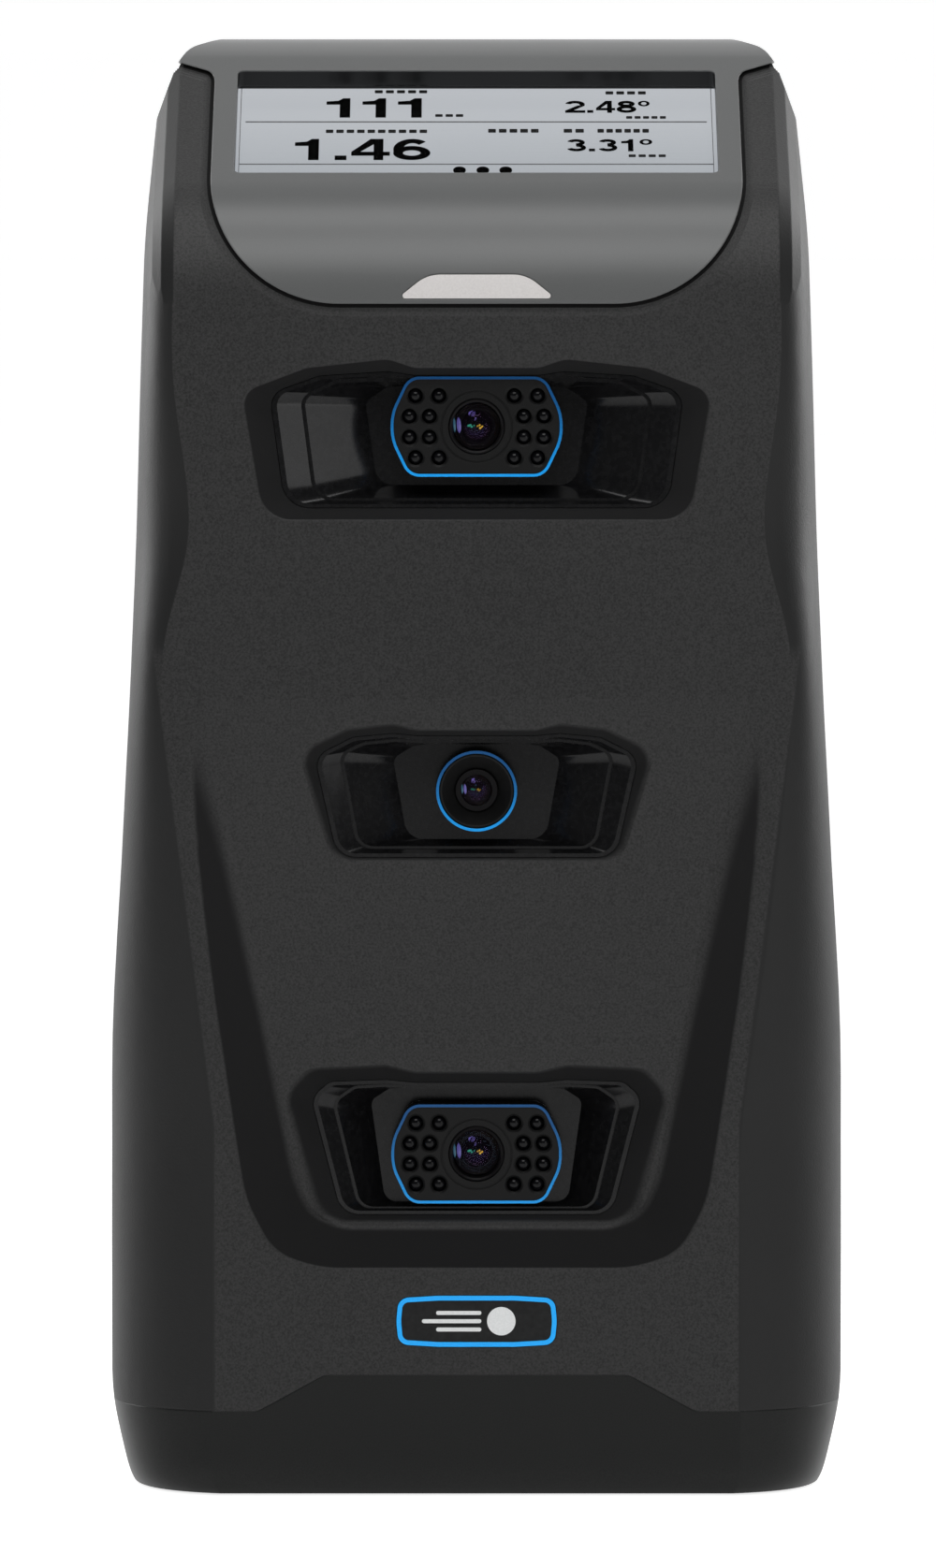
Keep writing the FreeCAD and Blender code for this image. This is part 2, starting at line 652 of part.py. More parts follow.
def emitter_plate(bay):
    """Cap of a camera pod: holes for sixteen emitters and the lens, with a skirt behind."""
    front = bay.face + PLATE_FRONT
    plate = slab(plate_outline(bay.height), front, bay.face + 9.0)
    hollow = slab(plate_outline(bay.height, -0.5), front + size("plate_t"), bay.face + 9.5)
    holes = [along_y(size("led_d") / 2 + 0.05, x, bay.height + z, front - 1, front + 4)
             for x, z in LED_SPOTS]
    dish = turned([(0, -0.1), (2.1, -0.1), (1.5, 0.45), (0, 0.45)], bay.height, front)
    dishes = [dish.translated(vec(x, 0, z)) for x, z in LED_SPOTS]
    lens_hole = along_y(size("lens_d") / 2 + 0.1, 0, bay.height, front - 1, front + 4)
    groove = along_y(7.6, 0, bay.height, front - 1, front + 0.25)
    groove = groove.cut(along_y(7.2, 0, bay.height, front - 1, front + 1))
    return carve(plate, [hollow] + holes + dishes + [lens_hole, groove])


def emitter_group(bay):
    """Sixteen domed infrared emitters standing on their board."""
    r = size("led_d") / 2.0
    tip = bay.face + PLATE_FRONT + 0.2
    solids = []
    for x, z in LED_SPOTS:
        stem = along_y(r, x, bay.height + z, tip + r, bay.face + BOARD_FRONT)
        dome = Part.makeSphere(r, vec(x, tip + r, bay.height + z))
        foot = along_y(1.75, x, bay.height + z, bay.face + BOARD_FRONT - 1.2, bay.face + BOARD_FRONT)
        solids.append(stem.fuse([dome, foot]).removeSplitter())
    return Part.makeCompound(solids)


def emitter_board(bay):
    back = bay.face + BOARD_FRONT
    board = slab(plate_outline(bay.height, -0.6), back, back + size("board_t"))
    return board.cut(along_y(6.6, 0, bay.height, back - 1, back + 4))


def accent_ring(bay):
    if bay.kind == "round":
        ring = along_y(8.5, 0, bay.height, bay.face, bay.face + 8.0)
        return ring.cut(along_y(7.9, 0, bay.height, bay.face - 1, bay.face + 9.0))
    ring = slab(plate_outline(bay.height, size("trim_w")), bay.face, bay.face + 8.0)
    return ring.cut(slab(plate_outline(bay.height), bay.face - 1, bay.face + 9.0))


def lens_barrel(bay):
    """Threaded lens tube with a stepped hood in front of the glass."""
    if bay.kind == "round":
        profile = [(3.3, 3.6), (4.4, 3.6), (4.4, 14.5), (2.9, 14.5), (2.9, 5.6), (3.3, 5.6)]
    else:
        profile = [(5.15, 0.45), (5.5, 0.2), (5.85, 0.5), (5.85, 14.6), (3.4, 14.6), (3.4, 5.2),
                   (5.05, 5.2), (5.05, 1.9)]
    return turned(profile, bay.height, bay.face)


def lens_glass(bay):
    """Front element: a convex cap over a short cylinder."""
    radius, seat, rise = (3.25, 5.5, 1.3) if bay.kind == "round" else (5.0, 5.1, 3.1)
    ball = (radius * radius + rise * rise) / (2 * rise)
    rim_y = bay.face + seat - 0.8
    ball_shape = Part.makeSphere(ball, vec(0, rim_y - rise + ball, bay.height))
    cap = ball_shape.common(along_y(radius, 0, bay.height, rim_y - rise - 1, rim_y))
    return cap.fuse(along_y(radius, 0, bay.height, rim_y, rim_y + 0.8)).removeSplitter()


def lens_holder(bay):
    """Square mount between the lens tube and its camera board."""
    start, end = bay.face + HOLDER_FRONT, bay.face + CAMERA_BOARD
    if bay.kind == "round":
        start += 4.0
    bore = 4.45 if bay.kind == "round" else size("lens_d") / 2 + 0.05
    holder = block(-8.0, 8.0, start, end, bay.height - 8.0, bay.height + 8.0)
    holder = holder.makeFillet(1.5, [e for e in holder.Edges if e.BoundBox.YLength > 2])
    return holder.cut(along_y(bore, 0, bay.height, start - 1, end + 1))


def camera_board(bay):
    start = bay.face + CAMERA_BOARD
    end = start + size("board_t")
    board = block(-15.0, 15.0, start, end, bay.height - 12.0, bay.height + 12.0)
    holes = [along_y(thread(), x, bay.height + z, start - 1, end + 1) for x, z in BOARD_SPOTS]
    chip = block(-4.0, 4.0, end, end + 1.2, bay.height - 4.0, bay.height + 4.0)
    plug = block(-7.0, 7.0, end, end + 2.2, bay.height - 11.0, bay.height - 7.6)
    return carve(board.fuse([chip, plug]), holes)


def image_sensors():
    chips = []
    for bay in BAYS.values():
        back = bay.face + CAMERA_BOARD
        r = 2.6 if bay.kind == "round" else 3.6
        chips.append(block(-r, r, back - 0.9, back, bay.height - 0.75 * r, bay.height + 0.75 * r))
    return Part.makeCompound(chips)


def optical_bench():
    """Machined plate that holds the three cameras in line."""
    plate = block(-31.0, 31.0, BENCH_Y, BENCH_Y + 3.0, 44.0, 249.0)
    plate = plate.makeFillet(5.0, [e for e in plate.Edges if abs(e.BoundBox.YLength - 3) < 0.1])
    windows = [block(-18, 18, BENCH_Y - 1, BENCH_Y + 4, low, high)
               for low, high in ((93, 127), (168, 204))]
    bosses, holes = [], []
    for bay in BAYS.values():
        back = bay.face + CAMERA_BOARD + size("board_t")
        for x, z in BOARD_SPOTS:
            bosses.append(along_y(3.0, x, bay.height + z, back, BENCH_Y + 0.5))
            holes.append(along_y(thread(), x, bay.height + z, back - 1, BENCH_Y + 4))
        windows.append(block(-8.5, 8.5, BENCH_Y - 1, BENCH_Y + 4, bay.height - 13, bay.height + 5))
    holes += [along_y(thread(), x, z, BENCH_Y - 1, BENCH_Y + 4) for x, z in BENCH_SPOTS]
    holes += [along_y(thread(), x, z, BENCH_Y - 1, BENCH_Y + 4) for x, z in STANDOFF_SPOTS]
    return carve(plate.fuse(bosses), windows + holes)


STANDOFF_SPOTS = [(s * 27.0, z) for z in (64.0, 232.0) for s in (1, -1)]
MAIN_Y = -14.0


def screw(x, z, seat, reach, toward=1.0):
    """A pan head screw along Y: seat is under the head, reach is its shank length."""
    head = Part.makeCylinder(size("screw_head") / 2, 2.2, vec(x, seat, z), vec(0, toward, 0))
    slot = Part.makeCylinder(1.1, 1.3, vec(x, seat + toward * 1.0, z), vec(0, toward, 0))
    shank = Part.makeCylinder(size("screw_d") / 2, reach, vec(x, seat, z), vec(0, -toward, 0))
    return head.fuse(shank).cut(slot).removeSplitter()


def bench_screws():
    screws = [screw(x, z, BENCH_Y + 3.0, 8.0) for x, z in BENCH_SPOTS]
    for bay in BAYS.values():
        front = bay.face + CAMERA_BOARD
        for x, z in BOARD_SPOTS:
            screws.append(screw(x, bay.height + z, front, 4.0, -1.0))
    return Part.makeCompound(screws)


def base_screw(x, y):
    head = Part.makeCylinder(size("screw_head") / 2, 2.2, vec(x, y, 1.8))
    socket = Part.makeCylinder(1.2, 1.4, vec(x, y, 1.7))
    shank = Part.makeCylinder(size("screw_d") / 2, 20.0, vec(x, y, 4.0))
    return head.fuse(shank).cut(socket).removeSplitter()


for place, bay in BAYS.items():
    shaped(place + "_accent_ring", accent_ring(bay))
    if bay.kind != "round":
        shaped(place + "_emitter_plate", emitter_plate(bay))
        shaped(place + "_infrared_leds", emitter_group(bay))
        shaped(place + "_emitter_board", emitter_board(bay))
    shaped(place + "_lens_barrel", lens_barrel(bay))
    shaped(place + "_lens_glass", lens_glass(bay))
    shaped(place + "_lens_holder", lens_holder(bay))
    shaped(place + "_camera_board", camera_board(bay))
MIDDLE = BAYS["middle"]
BEZEL = [(7.7, 0.5), (7.7, 9.0), (4.5, 9.0), (4.5, 4.3), (7.3, 0.5)]
shaped("middle_lens_bezel", turned(BEZEL, MIDDLE.height, MIDDLE.face))
shaped("image_sensors", image_sensors())
shaped("optical_bench", optical_bench())
shaped("bench_screws", bench_screws())
shaped("housing_screws", Part.makeCompound([screw(x, z, SCREW_SEAT, 30.0) for x, z in SCREW_SPOTS]))
shaped("base_screws", Part.makeCompound([base_screw(x, y) for x, y in BASE_SPOTS]))


# ---------------------------------------------------------------- badge

def badge_border():
    ring = slab(badge_outline(), -60.05, -58.7)
    return ring.cut(slab(badge_outline(-1.0), -62.0, -50.0)).removeSplitter()


shaped("badge_border", badge_border())
shaped("name_badge", slab(badge_outline(-1.02), -59.75, -58.7))


# ---------------------------------------------------------------- display stack

def on_slope(name, extra, start_gap, above, thick):
    """A flat layer of the display lying on the slope, with sizes bound to the sheet."""
    layer = doc.addObject("Part::Box", name)
    bind(layer, Length="Sizes.view_w + %s" % extra, Width="Sizes.view_l + %s" % extra, Height=thick)
    foot = slope_point(VIEW_START + start_gap, above)
    width = size("view_w") + extra
    turn = FreeCAD.Rotation(vec(1, 0, 0), size("slope"))
    layer.Placement = FreeCAD.Placement(vec(-width / 2.0, foot.y, foot.z), turn)
    return keep(layer, name)


GLASS_UNDER = -size("view_deep") - size("glass_t")
on_slope("display_window", 1.8, -0.9, GLASS_UNDER, "Sizes.glass_t")
on_slope("lcd_panel", 1.6, -0.8, GLASS_UNDER - size("lcd_t"), "Sizes.lcd_t")
on_slope("display_board", 1.4, -0.7, GLASS_UNDER - size("lcd_t") - size("board_t"), "Sizes.board_t")


def status_board():
    """Small board with three light blocks behind the status window."""
    board = block(-13.0, 13.0, -55.6, -54.0, 251.2, 258.0)
    lights = [block(x - 1.6, x + 1.6, -57.2, -55.6, 253.0, 255.4) for x in (-8.0, 0.0, 8.0)]
    return board.fuse(lights).common(CAVITY).cut(HEAD_GAP.cut(HEAD_SPACE)).removeSplitter()


shaped("status_light_board", status_board())


# ---------------------------------------------------------------- controls on the right side

def drum(name, radius, reach, x, y, z):
    """A Part cylinder lying along X with every size and place bound to the sheet."""
    obj = doc.addObject("Part::Cylinder", name)
    obj.Placement.Rotation = FreeCAD.Rotation(vec(0, 1, 0), 90)
    bind(obj, Radius=radius, Height=reach)
    bind(obj, Placement__Base__x=x, Placement__Base__y=y, Placement__Base__z=z)
    return obj


def push_button(name, number):
    """Cap, stem and retaining flange of one button."""
    z = "Sizes.key_z + %d * Sizes.key_pitch" % number
    cap = drum(name + "_cap", "Sizes.key_d / 2", "1.5", "Sizes.key_face - 1.4", "Sizes.key_y", z)
    stem = drum(name + "_stem", "2.6", "6.6", "60.2", "Sizes.key_y", z)
    flange = drum(name + "_flange", "3.8", "1.3", "61.2", "Sizes.key_y", z)
    return keep(fused(name, [cap, stem, flange]), name)


for number, name in enumerate(("power_button", "down_button", "select_button", "up_button")):
    push_button(name, number)


def button_panel():
    """Rounded plate in the side recess, one hole per button."""
    low, high = KEY_HEIGHTS[0] - 7.9, KEY_HEIGHTS[3] + 7.9
    plate = block(65.7, 67.5, key_y() - 7.5, key_y() + 7.5, low, high)
    plate = plate.makeFillet(2.5, [e for e in plate.Edges if abs(e.BoundBox.XLength - 1.8) < 0.1])
    hole = size("key_d") / 2 + 0.15
    holes = [Part.makeCylinder(hole, 6, vec(63, key_y(), z), vec(1, 0, 0)) for z in KEY_HEIGHTS]
    return carve(plate, holes)


def button_board():
    """Board with one switch behind each button stem."""
    low, high = KEY_HEIGHTS[0] - 10.5, KEY_HEIGHTS[3] + 10.5
    board = block(KEY_BOARD_X - size("board_t"), KEY_BOARD_X, key_y() - 6, key_y() + 6, low, high)
    switches = [block(KEY_BOARD_X, 59.3, key_y() - 1.7, key_y() + 1.7, z - 1.7, z + 1.7)
                for z in KEY_HEIGHTS]
    return board.fuse(switches).removeSplitter()


shaped("button_panel", button_panel())
shaped("button_board", button_board())


# ---------------------------------------------------------------- rear port door and sockets

def port_door():
    """Door leaf with a narrower root and a hinge barrel round the pin."""
    leaf = box("door_leaf", "Sizes.door_w", "Sizes.door_t", "Sizes.door_tall - 5.6",
               "-Sizes.door_w / 2", "57.55", "Sizes.door_z + 3.4")
    root = box("door_root", "Sizes.door_w - 12.4", "Sizes.door_t", "3.6",
               "-Sizes.door_w / 2 + 6.2", "57.55", "Sizes.door_z")
    barrel = drum("door_barrel", "2.4", "Sizes.door_w - 12.4", "-Sizes.door_w / 2 + 6.2",
                  "57.5", "Sizes.door_z")
    bore = drum("door_bore", "Sizes.pin_d / 2 + 0.04", "Sizes.door_w", "-Sizes.door_w / 2",
                "57.5", "Sizes.door_z")
    notch = box("door_notch", "18", "2", "2", "-9", "58.9",
                "Sizes.door_z + Sizes.door_tall - 3.4")
    solid = fused("door_solid", [leaf, root, barrel])
    return cut("port_door", cut("door_bored", solid, bore), notch)


keep(port_door(), "port_door")
keep(drum("port_door_pin", "Sizes.pin_d / 2", "Sizes.door_w - 4.4", "-Sizes.door_w / 2 + 2.2",
          "57.5", "Sizes.door_z"), "port_door_pin")

NETWORK_X = -12.0
USB_X = 12.0
PORT_MID = size("door_z") + 14.4


def network_socket():
    """Network socket: metal box with a wide open mouth facing the back."""
    outer = block(NETWORK_X - 8.0, NETWORK_X + 8.0, 41.0, 52.4, PORT_MID - 6.8, PORT_MID + 6.8)
    mouth = block(NETWORK_X - 5.9, NETWORK_X + 5.9, 43.5, 55.0, PORT_MID - 4.6, PORT_MID + 3.6)
    latch = block(NETWORK_X - 3.0, NETWORK_X + 3.0, 43.5, 55.0, PORT_MID + 3.5, PORT_MID + 5.2)
    return carve(outer, [mouth, latch])


def usb_socket():
    """Small oval charging and data socket with its tongue."""
    def oval(grow, y_from, y_to):
        half, r = 2.9, 1.55 + grow
        core = block(USB_X - half, USB_X + half, y_from, y_to, PORT_MID - r, PORT_MID + r)
        ends = [along_y(r, USB_X + s * half, PORT_MID, y_from, y_to) for s in (1, -1)]
        return core.fuse(ends).removeSplitter()
    tongue = block(USB_X - 3.3, USB_X + 3.3, 44.0, 49.5, PORT_MID - 0.35, PORT_MID + 0.35)
    return oval(0.4, 41.0, 51.0).cut(oval(-0.25, 44.5, 53.0)).fuse(tongue).removeSplitter()


def port_board():
    board = block(-30.0, 30.0, 39.4, 41.0, size("door_z") + 2.0, size("door_z") + 27.0)
    chips = [block(-6, 6, 37.8, 39.4, PORT_MID - 5, PORT_MID + 5),
             block(12, 22, 38.4, 39.4, PORT_MID - 4, PORT_MID + 4)]
    holes = [along_y(thread(), x, z, 36.0, 43.0) for x, z in PORT_SPOTS]
    return carve(board.fuse(chips), holes)


shaped("network_socket", network_socket())
shaped("usb_socket", usb_socket())
shaped("port_board", port_board())
shaped("port_board_screws", Part.makeCompound([screw(x, z, 39.4, 3.4, -1.0) for x, z in PORT_SPOTS]))


# ---------------------------------------------------------------- main board, battery, feet

def main_board():
    """Main circuit board with its chips and cable sockets on the side toward the back."""
    back = MAIN_Y + size("board_t")
    board = block(-50.0, 50.0, MAIN_Y, back, 80.0, 240.0)
    parts = [
        block(-17, 17, back, back + 2.4, 153, 187), block(22, 36, back, back + 1.4, 150, 172),
        block(22, 36, back, back + 1.4, 176, 198), block(-44, -26, back, back + 3.0, 196, 222),
        block(-42, -28, back, back + 6.0, 100, 112), block(10, 34, back, back + 5.0, 92, 99),
    ]
    holes = [along_y(thread(), x, z, MAIN_Y - 1, back + 1) for x, z in BOARD_MOUNTS]
    return carve(board.fuse(parts), holes)


BOARD_MOUNTS = [(s * 27.0, z) for z in (88.0, 232.0) for s in (1, -1)]


def board_standoffs():
    posts = []
    for x, z in BOARD_MOUNTS:
        points = [vec(x + 3.0 * math.cos(math.radians(60 * i)), BENCH_Y + 3.0,
                      z + 3.0 * math.sin(math.radians(60 * i))) for i in range(7)]
        posts.append(Part.Face(Part.makePolygon(points)).extrude(vec(0, MAIN_Y - BENCH_Y - 3.0, 0)))
    studs = [along_y(1.5, x, z, MAIN_Y - 0.1, MAIN_Y + 3.4) for x, z in BOARD_MOUNTS]
    return Part.makeCompound([post.fuse(stud).removeSplitter() for post, stud in zip(posts, studs)])


def heatsink_shape():
    base = block(-20, 20, MAIN_Y + 4.0, MAIN_Y + 6.5, 148, 192)
    fins = [block(-20 + 4.2 * i, -18.6 + 4.2 * i, MAIN_Y + 6.0, MAIN_Y + 17.0, 148, 192)
            for i in range(10)]
    return base.fuse(fins).removeSplitter()


def battery_pack():
    """Two flat cells side by side in one sleeve, modelled in a PartDesign body."""
    body = doc.addObject("PartDesign::Body", "battery_pack")
    sketch = body.newObject("Sketcher::SketchObject", "pack_outline")
    sketch.AttachmentSupport = [(origin_plane(body, "XY_Plane"), "")]
    sketch.MapMode = "FlatFace"
    half_w, half_l = size("cell_w") / 2, size("cell_l") / 2
    corners = [(-half_w, -half_l), (half_w, -half_l), (half_w, half_l), (-half_w, half_l)]
    for i in range(4):
        start, end = corners[i], corners[(i + 1) % 4]
        sketch.addGeometry(Part.LineSegment(vec(*start, 0), vec(*end, 0)))
    for i in range(4):
        sketch.addConstraint(Sketcher.Constraint("Coincident", i, 2, (i + 1) % 4, 1))
    for i in (0, 2):
        sketch.addConstraint(Sketcher.Constraint("Horizontal", i))
        sketch.addConstraint(Sketcher.Constraint("Vertical", i + 1))
    sketch.addConstraint(Sketcher.Constraint("Symmetric", 0, 1, 1, 2, -1, 1))
    wide = sketch.addConstraint(Sketcher.Constraint("DistanceX", 0, 1, 0, 2, 2 * half_w))
    deep = sketch.addConstraint(Sketcher.Constraint("DistanceY", 1, 1, 1, 2, 2 * half_l))
    sketch.setExpression("Constraints[%d]" % wide, "Sizes.cell_w")
    sketch.setExpression("Constraints[%d]" % deep, "Sizes.cell_l")
    pad = body.newObject("PartDesign::Pad", "pack_block")
    pad.Profile = sketch
    pad.setExpression("Length", "Sizes.cell_tall")
    doc.recompute()
    soft = body.newObject("PartDesign::Fillet", "pack_edges")
    upright = ["Edge%d" % (i + 1) for i, e in enumerate(pad.Shape.Edges)
               if e.BoundBox.ZLength > size("cell_tall") - 1]
    soft.Base = (pad, upright)
    soft.Radius = 4.0
    doc.recompute()
    body.Placement = FreeCAD.Placement(vec(0, 8.0, 5.0), FreeCAD.Rotation())
    return body


def origin_plane(body, role):
    return [plane for plane in body.Origin.OriginFeatures if plane.Role == role][0]


def battery_cradle():
    """Open-topped holder that stands the battery on the floor of the base."""
    w, l = size("cell_w") / 2, size("cell_l") / 2
    outer = block(-w - 2.2, w + 2.2, 8.0 - l - 2.2, 8.0 + l + 2.2, size("wall") + 0.4, 24.0)
    inner = block(-w - 0.1, w + 0.1, 8.0 - l - 0.1, 8.0 + l + 0.1, 5.0, 25.0)
    sides = [block(-w + 14, w - 14, -20, 40, 12.0, 25.0)]
    return carve(outer, [inner] + sides)


shaped("main_board", main_board())
shaped("board_standoffs", board_standoffs())
shaped("heatsink", heatsink_shape())
keep(battery_pack(), "battery_pack")
shaped("battery_cradle", battery_cradle())


def foot_pads():
    pads = []
    for sx in (1, -1):
        for sy in (1, -1):
            name = "pad_%d" % (len(pads) + 1)
            pad = doc.addObject("Part::Cylinder", name)
            bind(pad, Radius="Sizes.foot_d / 2", Height="Sizes.foot_t")
            bind(pad, Placement__Base__x="%d * Sizes.foot_x" % sx)
            bind(pad, Placement__Base__y="%d * Sizes.foot_y" % sy)
            pads.append(pad)
    group = doc.addObject("Part::Compound", "foot_pads")
    group.Links = pads
    return group


keep(foot_pads(), "foot_pads")

# ---------------------------------------------------------------- write the parts

doc.recompute()
os.makedirs("parts", exist_ok=True)
for node in NODES:
    if {"Invalid", "Error"} & set(node.State):
        raise RuntimeError("%s did not compute" % node.Label)
    if node.Shape.isNull() or not node.Shape.isValid() or not node.Shape.Solids:
        raise RuntimeError("%s has no valid shape" % node.Label)
for node in NODES:
    node.Shape.exportStep("parts/%s.step" % node.Label)
print("%d parts written" % len(NODES))
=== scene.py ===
import json
import math

import bmesh
import bpy
from mathutils import Matrix, Vector

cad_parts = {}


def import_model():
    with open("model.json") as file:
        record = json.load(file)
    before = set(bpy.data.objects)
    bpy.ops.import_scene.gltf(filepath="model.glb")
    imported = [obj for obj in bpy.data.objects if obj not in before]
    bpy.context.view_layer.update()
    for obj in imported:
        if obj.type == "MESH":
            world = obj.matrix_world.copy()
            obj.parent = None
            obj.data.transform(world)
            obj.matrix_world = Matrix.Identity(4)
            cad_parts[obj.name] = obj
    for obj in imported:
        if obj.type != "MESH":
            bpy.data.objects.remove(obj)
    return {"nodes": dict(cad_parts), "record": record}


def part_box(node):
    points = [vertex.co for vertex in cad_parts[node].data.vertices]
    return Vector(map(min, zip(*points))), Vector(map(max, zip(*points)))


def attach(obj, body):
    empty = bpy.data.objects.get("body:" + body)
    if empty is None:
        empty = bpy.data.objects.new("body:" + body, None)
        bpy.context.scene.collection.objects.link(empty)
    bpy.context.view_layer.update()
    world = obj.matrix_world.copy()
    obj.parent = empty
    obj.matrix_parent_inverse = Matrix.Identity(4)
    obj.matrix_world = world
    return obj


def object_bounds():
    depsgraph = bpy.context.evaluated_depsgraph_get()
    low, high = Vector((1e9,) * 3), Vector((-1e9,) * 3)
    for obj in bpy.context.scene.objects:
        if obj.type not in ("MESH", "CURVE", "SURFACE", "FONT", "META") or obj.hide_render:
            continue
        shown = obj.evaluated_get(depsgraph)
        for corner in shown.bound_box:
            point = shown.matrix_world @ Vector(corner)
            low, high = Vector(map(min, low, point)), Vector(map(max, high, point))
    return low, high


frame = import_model()
CAD_BOX = [list(corner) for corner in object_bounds()]
NODES = frame["nodes"]
MM = 0.001

# the sloping face of the head: its lean, and where it starts above the chin (y, z)
TILT = math.radians(34.0)
SLOPE_FOOT = (-0.0454, 0.2768)


# ---------------------------------------------------------------- node helpers

def link(tree, out, socket):
    tree.links.new(out, socket)


def add(tree, kind, **settings):
    node = tree.nodes.new(kind)
    for name, value in settings.items():
        if name in node.inputs:
            node.inputs[name].default_value = value
        else:
            setattr(node, name, value)
    return node


def grey(value):
    return (value, value, value, 1.0)


def noise(tree, coords, scale, detail=3.0, rough=0.5):
    node = add(tree, "ShaderNodeTexNoise")
    node.inputs["Scale"].default_value = scale
    node.inputs["Detail"].default_value = detail
    node.inputs["Roughness"].default_value = rough
    link(tree, coords, node.inputs["Vector"])
    return node.outputs["Fac"]


def ramp(tree, fac, stops):
    node = add(tree, "ShaderNodeValToRGB")
    elements = node.color_ramp.elements
    while len(elements) < len(stops):
        elements.new(0.5)
    for element, (place, colour) in zip(elements, stops):
        element.position = place
        element.color = colour
    link(tree, fac, node.inputs["Fac"])
    return node.outputs["Color"]


def span(tree, fac, low, high):
    node = add(tree, "ShaderNodeMapRange")
    node.inputs["To Min"].default_value = low
    node.inputs["To Max"].default_value = high
    link(tree, fac, node.inputs["Value"])
    return node.outputs["Result"]


def bump(tree, height, strength, distance, base=None):
    node = add(tree, "ShaderNodeBump")
    node.inputs["Strength"].default_value = strength
    node.inputs["Distance"].default_value = distance
    link(tree, height, node.inputs["Height"])
    if base is not None:
        link(tree, base, node.inputs["Normal"])
    return node.outputs["Normal"]


def maths(tree, operation, *values):
    """One maths node; a value is a socket or a plain number."""
    node = add(tree, "ShaderNodeMath", operation=operation)
    for socket, value in zip(node.inputs, values):
        if isinstance(value, (int, float)):
            socket.default_value = value
        else:
            link(tree, value, socket)
    return node.outputs["Value"]


def product(tree, first, *others):
    """Several sockets multiplied together."""
    total = first
    for value in others:
        total = maths(tree, "MULTIPLY", total, value)
    return total


def weigh(tree, terms, constant=0.0):
    """Sum of sockets times plain factors, plus a constant."""
    total = constant
    for socket, factor in terms:
        total = maths(tree, "MULTIPLY_ADD", socket, factor, total)
    return total


def step_up(tree, value, low, high):
    """0 below low, 1 above high, smooth between."""
    node = add(tree, "ShaderNodeMapRange", interpolation_type="SMOOTHSTEP")
    node.inputs["From Min"].default_value = low
    node.inputs["From Max"].default_value = high
    link(tree, value, node.inputs["Value"])
    return node.outputs["Result"]


def blend(tree, fac, colour_a, colour_b):
    """Mix two colours; each is a socket or a plain triple."""
    node = add(tree, "ShaderNodeMix", data_type="RGBA")
    link(tree, fac, node.inputs["Factor"])
    for socket, colour in ((node.inputs[6], colour_a), (node.inputs[7], colour_b)):
        if isinstance(colour, tuple):
            socket.default_value = (*colour, 1.0)
        else:
            link(tree, colour, socket)
    return node.outputs[2]


def axes(tree, coords):
    parts = add(tree, "ShaderNodeSeparateXYZ")
    link(tree, coords, parts.inputs["Vector"])
    return parts.outputs["X"], parts.outputs["Y"], parts.outputs["Z"]


def overlay(material, mask_of, colour, rough=None):
    """Give part of a material another colour and gloss, where mask_of(tree, x, y, z) is 1."""
    tree = material.node_tree
    shader = tree.nodes["Principled BSDF"]
    coords = next(n for n in tree.nodes if n.bl_idname == "ShaderNodeTexCoord").outputs["Object"]
    mask = mask_of(tree, *axes(tree, coords))
    below = shader.inputs["Base Color"].links[0].from_socket
    link(tree, blend(tree, mask, below, colour), shader.inputs["Base Color"])
    if rough is not None:
        below = shader.inputs["Roughness"].links[0].from_socket
        mix = add(tree, "ShaderNodeMix", data_type="FLOAT")
        link(tree, mask, mix.inputs["Factor"])
        link(tree, below, mix.inputs["A"])
        mix.inputs["B"].default_value = rough
        link(tree, mix.outputs["Result"], shader.inputs["Roughness"])
    return material


def start(name, **values):
    """A new Principled material and its object coordinates."""
    material = bpy.data.materials.new(name)
    material.use_nodes = True
    tree = material.node_tree
    shader = tree.nodes["Principled BSDF"]
    for key, value in values.items():
        shader.inputs[key.replace("_", " ")].default_value = value
    coords = add(tree, "ShaderNodeTexCoord").outputs["Object"]
    return material, tree, shader, coords


DRIFT = 0.12      # share of the slow colour drift in a moulded surface


def moulded(name, dark, light, grain, depth, rough, edge=0.0, spec=0.5):
    """Moulded or painted surface: fine grain, slow colour drift and softened edges.
    grain is the size of one grain in millimetres, depth its relief, edge the rounding radius."""
    material, tree, shader, coords = start(name)
    shader.inputs["Specular IOR Level"].default_value = spec
    fine = noise(tree, coords, 1.0 / (grain * MM), 2.0, 0.6)
    slow = noise(tree, coords, 14.0, 3.0)
    mix = add(tree, "ShaderNodeMix", data_type="FLOAT")
    mix.inputs["Factor"].default_value = DRIFT
    link(tree, fine, mix.inputs["A"])
    link(tree, slow, mix.inputs["B"])
    stops = [(0.30, (*dark, 1.0)), (0.62, (*light, 1.0))]
    link(tree, ramp(tree, mix.outputs["Result"], stops), shader.inputs["Base Color"])
    link(tree, span(tree, slow, rough - 0.05, rough + 0.05), shader.inputs["Roughness"])
    base = None
    if edge:
        soft = add(tree, "ShaderNodeBevel", samples=4)
        soft.inputs["Radius"].default_value = edge * MM
        base = soft.outputs["Normal"]
    if depth:
        base = bump(tree, fine, 0.5, depth * MM, base)
    if base is not None:
        link(tree, base, shader.inputs["Normal"])
    return material


